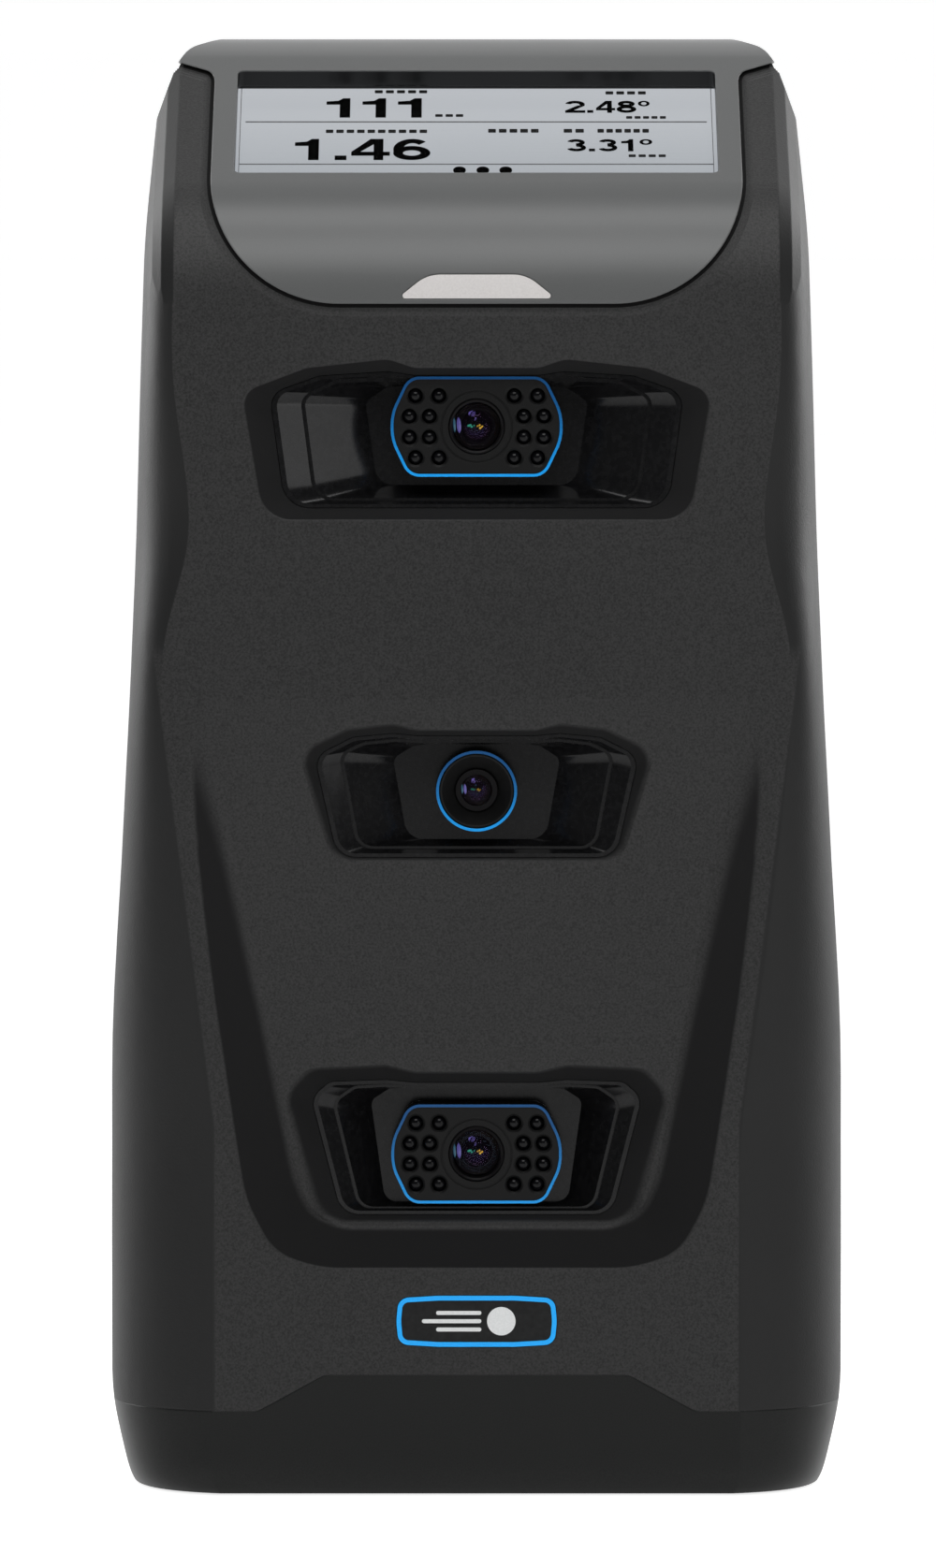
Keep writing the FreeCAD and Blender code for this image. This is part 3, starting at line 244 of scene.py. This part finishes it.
def gloss(name, colour, rough=0.08, spec=0.5, wave=0.05):
    """Polished black plastic with faint handling marks in its gloss."""
    material, tree, shader, coords = start(name)
    shader.inputs["Specular IOR Level"].default_value = spec
    smear = noise(tree, coords, 60.0, 5.0, 0.7)
    dust = noise(tree, coords, 900.0, 2.0)
    link(tree, span(tree, smear, rough * 0.6, rough * 1.6), shader.inputs["Roughness"])
    stops = [(0.35, (*colour, 1.0)), (0.75, (*[c * 1.5 + 0.002 for c in colour], 1.0))]
    link(tree, ramp(tree, dust, stops), shader.inputs["Base Color"])
    link(tree, bump(tree, smear, wave, 0.05 * MM), shader.inputs["Normal"])
    return material


def metal(name, colour, rough, stretch=(1.0, 1.0, 30.0)):
    """Machined metal: fine lines drawn out along one direction."""
    material, tree, shader, coords = start(name, Metallic=1.0)
    mapping = add(tree, "ShaderNodeMapping")
    mapping.inputs["Scale"].default_value = stretch
    link(tree, coords, mapping.inputs["Vector"])
    lines = noise(tree, mapping.outputs["Vector"], 240.0, 4.0, 0.7)
    stops = [(0.3, (*[c * 0.8 for c in colour], 1.0)), (0.7, (*colour, 1.0))]
    link(tree, ramp(tree, lines, stops), shader.inputs["Base Color"])
    link(tree, span(tree, lines, rough - 0.08, rough + 0.1), shader.inputs["Roughness"])
    link(tree, bump(tree, lines, 0.15, 0.05 * MM), shader.inputs["Normal"])
    return material


def lit(name, low, high, z_low, z_high):
    """Backlit screen: brighter toward its upper end, with a fine pixel grain."""
    material, tree, shader, coords = start(name, Roughness=0.25, Emission_Strength=1.0)
    rise = add(tree, "ShaderNodeMapRange")
    rise.inputs["From Min"].default_value = z_low
    rise.inputs["From Max"].default_value = z_high
    link(tree, axes(tree, coords)[2], rise.inputs["Value"])
    grain = noise(tree, coords, 2600.0, 1.0)
    mix = add(tree, "ShaderNodeMix", data_type="FLOAT")
    mix.inputs["Factor"].default_value = 0.06
    link(tree, rise.outputs["Result"], mix.inputs["A"])
    link(tree, grain, mix.inputs["B"])
    colour = ramp(tree, mix.outputs["Result"], [(0.0, (*low, 1.0)), (1.0, (*high, 1.0))])
    link(tree, colour, shader.inputs["Emission Color"])
    shader.inputs["Base Color"].default_value = grey(0.02)
    return material


def glass(name, colour, alpha, rough=0.02, film=0.0):
    """Thin coated glass, see-through with a clear reflection."""
    material, tree, shader, coords = start(name, Alpha=alpha)
    shader.inputs["Thin Film Thickness"].default_value = film
    shader.inputs["Thin Film IOR"].default_value = 1.38
    smear = noise(tree, coords, 90.0, 4.0)
    link(tree, span(tree, smear, rough, rough * 2.5), shader.inputs["Roughness"])
    stops = [(0.3, (*colour, 1.0)), (0.8, (*[c * 1.3 for c in colour], 1.0))]
    link(tree, ramp(tree, smear, stops), shader.inputs["Base Color"])
    return material


# ---------------------------------------------------------------- materials on the CAD nodes

LCD_LO, LCD_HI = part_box("lcd_panel")
FRONT = CAD_BOX[0][1]


def recess_shade_mask(tree, x, y, z):
    """Mask for painted shade: the walls of the camera bays and of the tongue, not the flat faces themselves.
    """
    tongue_lean, tongue_top = 0.074, 0.168
    bay_reach, flank_foot, chin = 0.050, 0.176, 0.246
    depth = maths(tree, "ADD", y, -FRONT)
    lean = weigh(tree, [(z, tongue_lean)], -tongue_lean * tongue_top)
    off_tongue = maths(tree, "ABSOLUTE", maths(tree, "ADD", depth, lean))
    deep = step_up(tree, depth, 0.0001, 0.0004)
    wall = step_up(tree, off_tongue, 0.0002, 0.0012)
    tongue_reach = maths(tree, "MAXIMUM", weigh(tree, [(z, 0.14)], 0.0415), bay_reach)
    above_tongue = step_up(tree, z, flank_foot, flank_foot + 0.002)
    reach = weigh(tree, [(above_tongue, -0.020), (tongue_reach, 1.0)])
    across = maths(tree, "ABSOLUTE", x)
    inside = step_up(tree, maths(tree, "SUBTRACT", reach, across), 0.0, 0.0006)
    below = step_up(tree, maths(tree, "SUBTRACT", chin, z), 0.0, 0.002)
    front = step_up(tree, maths(tree, "MULTIPLY", y, -1.0), 0.030, 0.036)
    return product(tree, deep, wall, inside, below, front)


def side_shade_mask(tree, x, y, z):
    """Mask for painted shade on the sides: outside the long fold of the body, and the cut-back flanks beside
    the head.
    """
    fold_foot, fold_half_width, fold_lean = 0.078, 0.0548, 0.127
    flank_foot, flank_half_width = 0.176, 0.0585
    across = maths(tree, "ABSOLUTE", x)
    climb = maths(tree, "MAXIMUM", weigh(tree, [(z, 1.0)], -fold_foot), 0.0)
    fold = weigh(tree, [(climb, fold_lean)], fold_half_width)
    outside = step_up(tree, maths(tree, "SUBTRACT", across, fold), 0.0, 0.0006)
    normal = add(tree, "ShaderNodeNewGeometry").outputs["True Normal"]
    turned = step_up(tree, maths(tree, "ABSOLUTE", axes(tree, normal)[0]), 0.16, 0.22)
    high = step_up(tree, z, flank_foot, flank_foot + 0.004)
    wide = step_up(tree, across, flank_half_width, flank_half_width + 0.0005)
    return maths(tree, "MAXIMUM", outside, product(tree, turned, high, wide))


def well_mask(tree, x, y, z):
    """The black walls of the display opening, under the sloping face."""
    half_width, first, last = 0.0521, 0.0010, 0.0450
    foot_y, foot_z = SLOPE_FOOT
    sine, cosine = math.sin(TILT), math.cos(TILT)
    above = weigh(tree, [(y, -sine), (z, cosine)], foot_y * sine - foot_z * cosine)
    along = weigh(tree, [(y, cosine), (z, sine)], -foot_y * cosine - foot_z * sine)
    under = step_up(tree, maths(tree, "MULTIPLY", above, -1.0), 0.00015, 0.0004)
    within = step_up(tree, maths(tree, "SUBTRACT", half_width, maths(tree, "ABSOLUTE", x)), 0.0, 0.0003)
    started = step_up(tree, along, first, first + 0.0006)
    not_ended = step_up(tree, maths(tree, "SUBTRACT", last, along), 0.0, 0.0006)
    return product(tree, under, within, started, not_ended)


def accent(name, face):
    """Blue front edge of a trim, with painted shade darkening it toward the top; its skirt is black."""
    lo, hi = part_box(name)
    painted_shade_blue = (0.001, 0.030, 0.12)
    black = (0.006, 0.006, 0.007)
    material = moulded(name + "_blue", (0.004, 0.32, 0.86), (0.008, 0.39, 0.96), 0.2, 0.004, 0.25, 0.12, 0.3)

    # painted shade: the blue edge gets darker toward its top, where the lip of the bay shades it
    def upper(tree, x, y, z):
        return maths(tree, "MULTIPLY", step_up(tree, z, lo.z - 0.006, hi.z - 0.002), 0.9)

    def skirt(tree, x, y, z):
        return step_up(tree, y, face + 0.0008, face + 0.0011)

    overlay(material, upper, painted_shade_blue)
    return overlay(material, skirt, black)


# moulded: dark and light tone, grain size, relief, roughness, edge rounding, specular level
MATERIALS = {
    "shell": moulded("shell_textured", (0.010, 0.010, 0.010), (0.027, 0.027, 0.027),
                     0.45, 0.09, 0.48, 0.6, 0.22),
    "base": moulded("base_satin", (0.005, 0.0055, 0.0055), (0.010, 0.0105, 0.010),
                    0.30, 0.015, 0.38, 0.6, 0.16),
    "head": moulded("head_silver", (0.076, 0.078, 0.078), (0.090, 0.092, 0.092),
                    0.12, 0.006, 0.34, 0.5, 0.36),
    "seal": moulded("seal_rubber", (0.001, 0.001, 0.001), (0.003, 0.003, 0.003), 0.3, 0.02, 0.7, 0.0, 0.1),
    "foot": moulded("foot_rubber", (0.012, 0.012, 0.012), (0.022, 0.022, 0.022), 0.5, 0.05, 0.7),
    "tray": gloss("tray_gloss", (0.004, 0.004, 0.0043), 0.16, 0.22, 0.02),
    "plate": moulded("plate_black", (0.003, 0.003, 0.003), (0.007, 0.007, 0.007),
                     0.15, 0.012, 0.42, 0.15, 0.16),
    "emitter": gloss("emitter_resin", (0.0015, 0.0015, 0.002), 0.16, 0.16),
    "barrel": moulded("barrel_black", (0.002, 0.0018, 0.002), (0.004, 0.0035, 0.004),
                      0.2, 0.01, 0.40, 0.1, 0.12),
    "lens": glass("lens_coated", (0.010, 0.006, 0.012), 0.16, 0.02, 520.0),
    "holder": moulded("holder_black", (0.012, 0.012, 0.012), (0.022, 0.022, 0.022), 0.3, 0.02, 0.5),
    "board": moulded("board_green", (0.006, 0.050, 0.020), (0.010, 0.085, 0.033), 1.5, 0.01, 0.32),
    "sensor": glass("sensor_face", (0.02, 0.02, 0.03), 1.0, 0.05, 380.0),
    "bench": metal("bench_machined", (0.62, 0.63, 0.64), 0.35),
    "screw": metal("screw_zinc", (0.50, 0.50, 0.52), 0.32, (1.0, 20.0, 1.0)),
    "window": glass("window_clear", (0.01, 0.01, 0.01), 0.03, 0.03),
    "display": lit("screen_lit", (0.32, 0.345, 0.375), (0.49, 0.51, 0.54), LCD_LO.z + 0.004, LCD_HI.z),
    "status": moulded("status_pale", (0.52, 0.50, 0.49), (0.57, 0.55, 0.54), 0.4, 0.004, 0.35),
    "badge": gloss("badge_black", (0.006, 0.0064, 0.0064), 0.2, 0.14),
    "key": moulded("key_soft", (0.028, 0.028, 0.029), (0.042, 0.042, 0.043), 0.25, 0.015, 0.55, 0.3),
    "panel": moulded("panel_black", (0.010, 0.010, 0.010), (0.016, 0.016, 0.016), 0.25, 0.008, 0.30, 0.2),
    "door": moulded("door_satin", (0.016, 0.0165, 0.0165), (0.026, 0.0265, 0.026), 0.35, 0.03, 0.42, 0.4),
    "socket": metal("socket_plated", (0.52, 0.52, 0.53), 0.28),
    "cells": moulded("sleeve_blue", (0.010, 0.035, 0.13), (0.015, 0.050, 0.18), 1.2, 0.01, 0.25),
    "accent": moulded("accent_blue", (0.003, 0.34, 0.88), (0.006, 0.41, 0.98), 0.2, 0.004, 0.22, 0.15, 0.3),
}
# painted shade: the sides and the flanks beside the head get a darker colour where the body turns away from
# the light
overlay(MATERIALS["shell"], side_shade_mask, (0.0105, 0.0107, 0.0107), 0.5)
# painted shade: the walls of the camera bays and of the tongue get a darker colour, and a rougher gloss
overlay(MATERIALS["shell"], recess_shade_mask, (0.0052, 0.0052, 0.0054), 0.85)
overlay(MATERIALS["head"], well_mask, (0.004, 0.0042, 0.0045))
SLOTS = {entry["node"]: entry["material_slot"] for entry in frame["record"]["subparts"]}
for name, node in NODES.items():
    made = MATERIALS[SLOTS[name]]
    if name.endswith("accent_ring"):
        made = accent(name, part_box(name)[0].y)
    node.data.materials.clear()
    node.data.materials.append(made)


# ---------------------------------------------------------------- small made pieces

INK_THICK = 0.1     # millimetres
MARK_THICK = 0.12


def piece(name, mesh, material, body="housing"):
    obj = bpy.data.objects.new(name, mesh)
    bpy.context.scene.collection.objects.link(obj)
    mesh.materials.clear()
    mesh.materials.append(material)
    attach(obj, body)


def bar(bm, u0, u1, v0, v1, thick, radius):
    """A rounded flat bar in the local plane, standing up by its thickness."""
    radius = min(radius, (u1 - u0) / 2.001, (v1 - v0) / 2.001)
    outline = []
    for cu, cv, turn in ((u1 - radius, v1 - radius, 0), (u0 + radius, v1 - radius, 90),
                         (u0 + radius, v0 + radius, 180), (u1 - radius, v0 + radius, 270)):
        for k in range(5):
            a = math.radians(turn + 22.5 * k)
            outline.append((cu + radius * math.cos(a), cv + radius * math.sin(a)))
    solid(bm, outline, thick)


def solid(bm, outline, thick):
    """A flat plate with the outline given in millimetres."""
    low = [bm.verts.new((u * MM, v * MM, 0.0)) for u, v in outline]
    high = [bm.verts.new((u * MM, v * MM, thick * MM)) for u, v in outline]
    bm.faces.new(list(reversed(low)))
    bm.faces.new(high)
    for i in range(len(outline)):
        j = (i + 1) % len(outline)
        bm.faces.new((low[i], low[j], high[j], high[i]))


def disc(bm, u, v, radius, thick, steps=40):
    ring = [(u + radius * math.cos(2 * math.pi * k / steps), v + radius * math.sin(2 * math.pi * k / steps))
            for k in range(steps)]
    solid(bm, ring, thick)


def stroke(bm, u0, v0, u1, v1, points):
    """A flat polygon given in the unit square of a glyph box."""
    solid(bm, [(u0 + (u1 - u0) * a, v0 + (v1 - v0) * b) for a, b in points], INK_THICK)


def band(bm, u0, v0, u1, v1, cx, cy, rx, ry, first, last, wide=0.26, thin=0.19):
    """Part of an oval stroke, thick at its sides and thin at its top and bottom."""
    count = max(6, int((last - first) / 12))
    for k in range(count):
        a = math.radians(first + (last - first) * k / count)
        b = math.radians(first + (last - first) * (k + 1) / count)
        stroke(bm, u0, v0, u1, v1, [
            (cx + rx * math.cos(a), cy + ry * math.sin(a)), (cx + rx * math.cos(b), cy + ry * math.sin(b)),
            (cx + (rx - wide) * math.cos(b), cy + (ry - thin) * math.sin(b)),
            (cx + (rx - wide) * math.cos(a), cy + (ry - thin) * math.sin(a))])


# straight strokes of the digits, as polygons in the unit square
STROKES = {
    "1": [[(0.56, 0.0), (1.0, 0.0), (1.0, 1.0), (0.70, 1.0),
           (0.50, 0.87), (0.0, 0.83), (0.0, 0.68), (0.56, 0.68)]],
    ".": [[(0.0, 0.0), (1.0, 0.0), (1.0, 1.0), (0.0, 1.0)]],
    "4": [[(0.58, 0.0), (0.83, 0.0), (0.83, 1.0), (0.58, 1.0)],
          [(0.0, 0.21), (1.0, 0.21), (1.0, 0.38), (0.0, 0.38)],
          [(0.0, 0.38), (0.22, 0.38), (0.62, 0.80), (0.62, 1.0), (0.50, 1.0)]],
    "2": [[(0.0, 0.0), (1.0, 0.0), (1.0, 0.18), (0.0, 0.18)],
          [(0.0, 0.16), (0.36, 0.16), (0.97, 0.60), (0.62, 0.60)]],
}
# round strokes: middle, radii, first and last angle
OVALS = {
    "6": [(0.5, 0.33, 0.5, 0.33, 0, 360), (0.52, 0.5, 0.52, 0.5, 48, 200)],
    "2": [(0.49, 0.70, 0.49, 0.30, -22, 165)],
    "8": [(0.5, 0.745, 0.43, 0.255, 0, 360), (0.5, 0.29, 0.5, 0.29, 0, 360)],
    "3": [(0.48, 0.73, 0.46, 0.27, -90, 160), (0.5, 0.29, 0.5, 0.29, -160, 90)],
    "o": [(0.5, 0.5, 0.5, 0.5, 0, 360)],
}


def glyphs(bm, row, v0, v1):
    """Digits of a reading, each with its left and right edge."""
    for kind, u0, u1 in row:
        top, low = v1, v0
        if kind == ".":
            top = v0 + 0.2 * (v1 - v0)
        if kind == "o":
            low = v0 + 0.55 * (v1 - v0)
        for points in STROKES.get(kind, []):
            stroke(bm, u0, low, u1, top, points)
        for oval in OVALS.get(kind, []):
            band(bm, u0, low, u1, top, *oval)


# local plane on the lit face: x to the right, y up the slope, z out of the screen
SCREEN_DEPTH = 0.00508
SCREEN = (Matrix.Translation((0.0, *SLOPE_FOOT)) @ Matrix.Rotation(TILT, 4, "X")
          @ Matrix.Translation((0.0, 0.0, -SCREEN_DEPTH)))


def screen_ink(name, low, high):
    material, tree, shader, coords = start(name, Roughness=0.6, Specular_IOR_Level=0.0)
    shades = ramp(tree, noise(tree, coords, 700.0), [(0.3, grey(low)), (0.7, grey(high))])
    link(tree, shades, shader.inputs["Base Color"])
    return material


INK = screen_ink("screen_ink", 0.0004, 0.0012)


def on_screen(name, bm, material):
    mesh = bpy.data.meshes.new(name)
    bm.to_mesh(mesh)
    bm.free()
    mesh.transform(SCREEN)
    piece(name, mesh, material)


def screen_numbers():
    """The four readings: each digit with its left and right edge, then the row's foot and top."""
    bm = bmesh.new()
    glyphs(bm, [("1", -32.1, -27.0), ("1", -24.4, -19.35), ("1", -16.8, -11.7)], 32.1, 39.6)
    glyphs(bm, [("1", -38.6, -33.5), (".", -30.1, -27.6), ("4", -26.6, -18.4), ("6", -17.7, -9.8)],
           15.5, 23.6)
    glyphs(bm, [("2", 19.0, 23.3), (".", 23.7, 25.0), ("4", 25.6, 29.7), ("8", 30.0, 34.2),
                ("o", 34.6, 37.1)], 34.0, 38.6)
    glyphs(bm, [("3", 19.2, 23.3), (".", 23.9, 25.2), ("3", 25.9, 29.95), ("1", 30.8, 33.35),
                ("o", 34.7, 37.4)], 18.9, 23.5)
    on_screen("screen_numbers", bm, INK)


def screen_bars():
    """Plain dashes where captions stand, and the page dots."""
    # left, right, foot and top of a caption, and its number of dashes
    captions = [
        (-21.8, -9.9, 40.9, 43.6, 5), (-8.8, -2.2, 31.7, 34.0, 3), (-32.1, -9.9, 25.2, 28.1, 10),
        (27.7, 37.0, 40.4, 43.2, 4), (32.0, 41.0, 31.0, 33.2, 5), (2.5, 13.9, 25.2, 28.5, 5),
        (18.6, 23.6, 25.2, 28.5, 2), (25.8, 37.3, 25.2, 28.5, 6), (32.3, 40.8, 16.0, 18.2, 4),
    ]
    bm = bmesh.new()
    for u0, u1, v0, v1, count in captions:
        pitch = (u1 - u0) / count
        for k in range(count):
            low = v0 + 0.3 * (v1 - v0)
            high = v0 + 0.7 * (v1 - v0)
            bar(bm, u0 + k * pitch, u0 + (k + 0.72) * pitch, low, high, INK_THICK, 0.2)
    on_screen("screen_captions", bm, screen_ink("screen_grey", 0.012, 0.018))
    bm = bmesh.new()
    for u in (-3.6, 1.35, 6.2):
        disc(bm, u, 11.5, 1.35, INK_THICK)
    on_screen("screen_dots", bm, INK)


def screen_lines():
    """Thin rules between the readings and along both sides of the screen."""
    bm = bmesh.new()
    bar(bm, -49.3, 49.2, 30.2, 30.5, INK_THICK, 0.05)
    bar(bm, -50.3, 50.3, 13.75, 13.95, INK_THICK, 0.05)
    for u in (-50.4, 50.3):
        bar(bm, u - 0.07, u + 0.07, 4.0, 44.0, INK_THICK, 0.05)
    on_screen("screen_lines", bm, screen_ink("screen_line", 0.10, 0.13))


def badge_mark():
    """A plain flying ball: three strokes and a disc."""
    lo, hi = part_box("name_badge")
    bm = bmesh.new()
    disc(bm, 5.2, 0.0, 3.0, MARK_THICK)
    for length, v in ((9.5, 1.75), (12.5, 0.0), (9.5, -1.75)):
        bar(bm, 1.0 - length, 1.0, v - 0.42, v + 0.42, MARK_THICK, 0.4)
    mesh = bpy.data.meshes.new("badge_mark")
    bm.to_mesh(mesh)
    bm.free()
    middle = Vector((0.0, lo.y, (lo.z + hi.z) / 2))
    mesh.transform(Matrix.Translation(middle) @ Matrix.Rotation(math.radians(90), 4, "X"))
    pale = moulded("mark_pale", (0.62, 0.63, 0.63), (0.70, 0.71, 0.71), 0.3, 0.004, 0.35)
    piece("badge_mark", mesh, pale)


def lathe(profile, centre, steps=56):
    """Turn a (radius, depth) line about the optical axis; depth grows into the camera."""
    bm = bmesh.new()
    rings = []
    for radius, depth in profile:
        ring = []
        for k in range(steps):
            a = 2 * math.pi * k / steps
            ring.append(bm.verts.new((centre.x + radius * MM * math.cos(a), centre.y + depth * MM,
                                      centre.z + radius * MM * math.sin(a))))
        rings.append(ring)
    for a, b in zip(rings, rings[1:]):
        for k in range(steps):
            j = (k + 1) % steps
            bm.faces.new((a[k], b[k], b[j], a[j]))
    bm.faces.new(rings[-1])
    bmesh.ops.recalc_face_normals(bm, faces=bm.faces)
    mesh = bpy.data.meshes.new("lathe")
    bm.to_mesh(mesh)
    bm.free()
    for face in mesh.polygons:
        face.use_smooth = True
    return mesh


ELEMENT_RADIUS = 4.25       # millimetres, of the front element that the lens pieces are drawn for
STACK_START = -0.6          # millimetres, from the back of the front element


def lens_seat(place):
    """Middle of the back of a front element, and its size against the drawn one."""
    lo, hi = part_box(place + "_lens_glass")
    centre = Vector(((lo.x + hi.x) / 2, hi.y, (lo.z + hi.z) / 2))
    return centre, (hi.x - lo.x) / (2 * ELEMENT_RADIUS * MM)


def lens_stack(place):
    """Inner lens elements seen through the front glass: dark steps and tinted glossy bowls."""
    centre, scale = lens_seat(place)
    steps = [(4.1, -0.1), (3.9, 0.5), (3.3, 0.6), (3.2, 1.2), (2.7, 1.3),
             (2.6, 2.0), (2.2, 2.1), (2.1, 3.0), (0.4, 3.1)]
    shape = lathe([(r * scale, d * scale + STACK_START) for r, d in steps], centre)
    dark = gloss(place + "_stack_black", (0.006, 0.0045, 0.005), 0.18, 0.6)
    piece(place + "_lens_steps", shape, dark)
    # radius, depth of the rim, rise of the crown, tint, specular level
    bowls = [
        (2.75, 0.9, 0.7, (0.16, 0.07, 0.42), 0.55),
        (1.9, 1.5, 0.9, (0.02, 0.30, 0.20), 0.6),
        (1.1, 1.9, 0.5, (0.60, 0.30, 0.03), 0.8),
    ]
    for index, (radius, depth, rise, tint, shine) in enumerate(bowls):
        rim = depth * scale + STACK_START
        rows = [(radius * scale * math.cos(t), rim - rise * scale * math.sin(t))
                for t in [k * math.pi / 16 for k in range(8)]]
        rows.append((0.02, rim - rise * scale))
        coated = glass("%s_element_%d" % (place, index + 1), (0.004, 0.004, 0.004), 0.5, 0.05)
        shader = coated.node_tree.nodes["Principled BSDF"]
        shader.inputs["Specular Tint"].default_value = (*tint, 1.0)
        shader.inputs["Specular IOR Level"].default_value = shine
        piece("%s_lens_element_%d" % (place, index + 1), lathe(rows, centre), coated)


def flake(bm, centre, u, v, depth, wide, tall, roll):
    """A small curved sliver that stands for a glint of a coated lens face, tipped toward the floor and the
    light; its glow is painted.
    """
    turn = Matrix.Rotation(math.radians(roll), 4, "Y")
    rows = []
    for i in range(7):
        a = -1.0 + i / 3.0
        half = 0.5 * wide * math.sqrt(max(0.0, 1.0 - a * a)) + 0.01
        rows.append([(s * half, 0.16 * tall * a * a + 0.1 * abs(s) * wide, 0.5 * tall * a)
                     for s in (-1, -0.3, 0.3, 1)])
    grid = []
    for row in rows:
        made = []
        for x, y, z in row:
            spot = turn @ Vector((x, y, z))
            made.append(bm.verts.new(centre + Vector((spot.x + u, spot.y + depth, spot.z + v)) * MM))
        grid.append(made)
    for a, b in zip(grid, grid[1:]):
        for k in range(3):
            bm.faces.new((a[k], a[k + 1], b[k + 1], b[k]))


# painted reflections: colour, painted glow, depth behind the front element, slivers: across, up, width,
# height, roll
PAINTED_GLINTS = {
    "violet": ((0.13, 0.09, 0.40), 0.6, 0.12, [(-0.95, 3.0, 0.7, 1.1, 25), (-0.6, 2.2, 0.6, 1.1, 35),
                                               (-1.25, 2.3, 0.35, 0.9, 10), (-0.2, 1.3, 0.3, 0.7, 30)]),
    "indigo": ((0.11, 0.09, 0.34), 0.5, -0.9, [(-3.15, 0.2, 0.75, 2.9, -4)]),
    "cyan": ((0.04, 0.13, 0.20), 0.5, -0.9, [(-3.95, 0.25, 0.4, 2.8, -3)]),
    "teal": ((0.05, 0.45, 0.30), 1.1, 0.12, [(-1.25, 0.15, 0.4, 0.9, 75), (-0.85, -0.1, 0.3, 0.5, 60),
                                            (-0.4, 0.15, 0.25, 0.4, 30)]),
    "amber": ((0.80, 0.48, 0.04), 1.5, 0.12, [(0.25, 0.05, 0.35, 0.6, 60), (0.65, -0.3, 0.4, 0.5, 20),
                                             (0.55, 0.2, 0.28, 0.4, 0), (1.0, -0.05, 0.28, 0.45, 40)]),
}


def lens_painted_glints(place):
    """Painted glints: coloured glowing slivers standing in for reflections in the coated inner lens faces.
    """
    centre, scale = lens_seat(place)
    for tint, (colour, painted_glow, depth, slivers) in PAINTED_GLINTS.items():
        bm = bmesh.new()
        for u, v, wide, tall, roll in slivers:
            flake(bm, centre, u * scale, v * scale, depth, wide * scale, tall * scale, roll)
        name = "%s_lens_%s" % (place, tint)
        mesh = bpy.data.meshes.new(name)
        bm.to_mesh(mesh)
        bm.free()
        painted_glint_material = moulded(name, tuple(0.5 * c for c in colour), colour, 0.12, 0.0, 0.3, 0.0, 0.8)
        shader = painted_glint_material.node_tree.nodes["Principled BSDF"]
        # painted reflection: the slivers glow by themselves in the colours of the lens glints
        shader.inputs["Emission Color"].default_value = (*colour, 1.0)
        shader.inputs["Emission Strength"].default_value = painted_glow
        piece(name, mesh, painted_glint_material)


screen_numbers()
screen_bars()
screen_lines()
badge_mark()
for place in ("upper", "middle", "lower"):
    lens_stack(place)
    lens_painted_glints(place)


# ---------------------------------------------------------------- stage, lights, camera

def floor():
    """Plain pale sweep: level under the object, curving up far behind it."""
    near, level_end, curve, reach = -3.5, 3.4, 1.2, 8.2
    path = [(near, 0.0), (level_end, 0.0)]
    for angle in range(10, 91, 10):
        turn = math.radians(angle)
        path.append((level_end + curve * math.sin(turn), curve - curve * math.cos(turn)))
    path.append((level_end + curve, reach))
    bm = bmesh.new()
    rows = []
    for y, z in path:
        rows.append([bm.verts.new((x, y, z)) for x in (-reach, reach)])
    for a, b in zip(rows, rows[1:]):
        bm.faces.new((a[0], a[1], b[1], b[0]))
    mesh = bpy.data.meshes.new("floor")
    bm.to_mesh(mesh)
    bm.free()
    obj = bpy.data.objects.new("floor", mesh)
    bpy.context.scene.collection.objects.link(obj)
    pale, tree, shader, coords = start("floor_pale", Roughness=0.9, Emission_Strength=0.82)
    shader.inputs["Emission Color"].default_value = grey(1.0)
    link(tree, ramp(tree, noise(tree, coords, 3.0), [(0.2, grey(0.48)), (0.8, grey(0.50))]),
         shader.inputs["Base Color"])
    mesh.materials.append(pale)


def softbox(name, place, aim, width, height, power):
    """A white rectangular light at place, turned to aim."""
    data = bpy.data.lights.new(name, "AREA")
    data.shape = "RECTANGLE"
    data.size, data.size_y = width, height
    data.energy = power
    obj = bpy.data.objects.new(name, data)
    obj.location = place
    obj.rotation_euler = (Vector(aim) - Vector(place)).to_track_quat("-Z", "Y").to_euler()
    obj.visible_camera = False
    bpy.context.scene.collection.objects.link(obj)


def world():
    surround = bpy.data.worlds.new("studio")
    surround.use_nodes = True
    tree = surround.node_tree
    back = tree.nodes["Background"]
    back.inputs["Color"].default_value = (0.96, 0.98, 1.0, 1.0)
    back.inputs["Strength"].default_value = 0.10
    bpy.context.scene.world = surround


floor()
world()
softbox("key", (0.0, -0.95, 1.15), (0.0, 0.0, 0.24), 0.9, 0.5, 7.0)
softbox("overhead", (0.0, -0.13, 0.54), (0.0, -0.05, 0.28), 0.40, 0.10, 0.56)
softbox("roof", (0.0, 0.22, 0.80), (0.0, -0.02, 0.29), 0.50, 0.40, 0.36)
softbox("left_rim", (-0.62, 0.38, 0.46), (-0.06, 0.0, 0.24), 0.35, 0.55, 4.0)
softbox("right_rim", (0.62, 0.38, 0.46), (0.06, 0.0, 0.24), 0.35, 0.55, 4.0)
softbox("right_front", (0.62, -0.78, 0.27), (0.0, -0.05, 0.2), 0.34, 0.34, 0.8)

# camera: straight in front, aimed at the middle of the body from a little above
RISE = math.radians(3.2)
REACH = 1.804
target = Vector((-0.0018, FRONT, 0.1503))
camera_data = bpy.data.cameras.new("camera")
camera_data.lens = 197.6
camera_data.sensor_width = 36.0
camera_data.clip_end = 20.0
camera = bpy.data.objects.new("camera", camera_data)
camera.location = target + Vector((0.0, -math.cos(RISE), math.sin(RISE))) * REACH
camera.rotation_euler = (target - camera.location).to_track_quat("-Z", "Y").to_euler()
bpy.context.scene.collection.objects.link(camera)
bpy.context.scene.camera = camera
bpy.context.scene.view_settings.view_transform = "Standard"
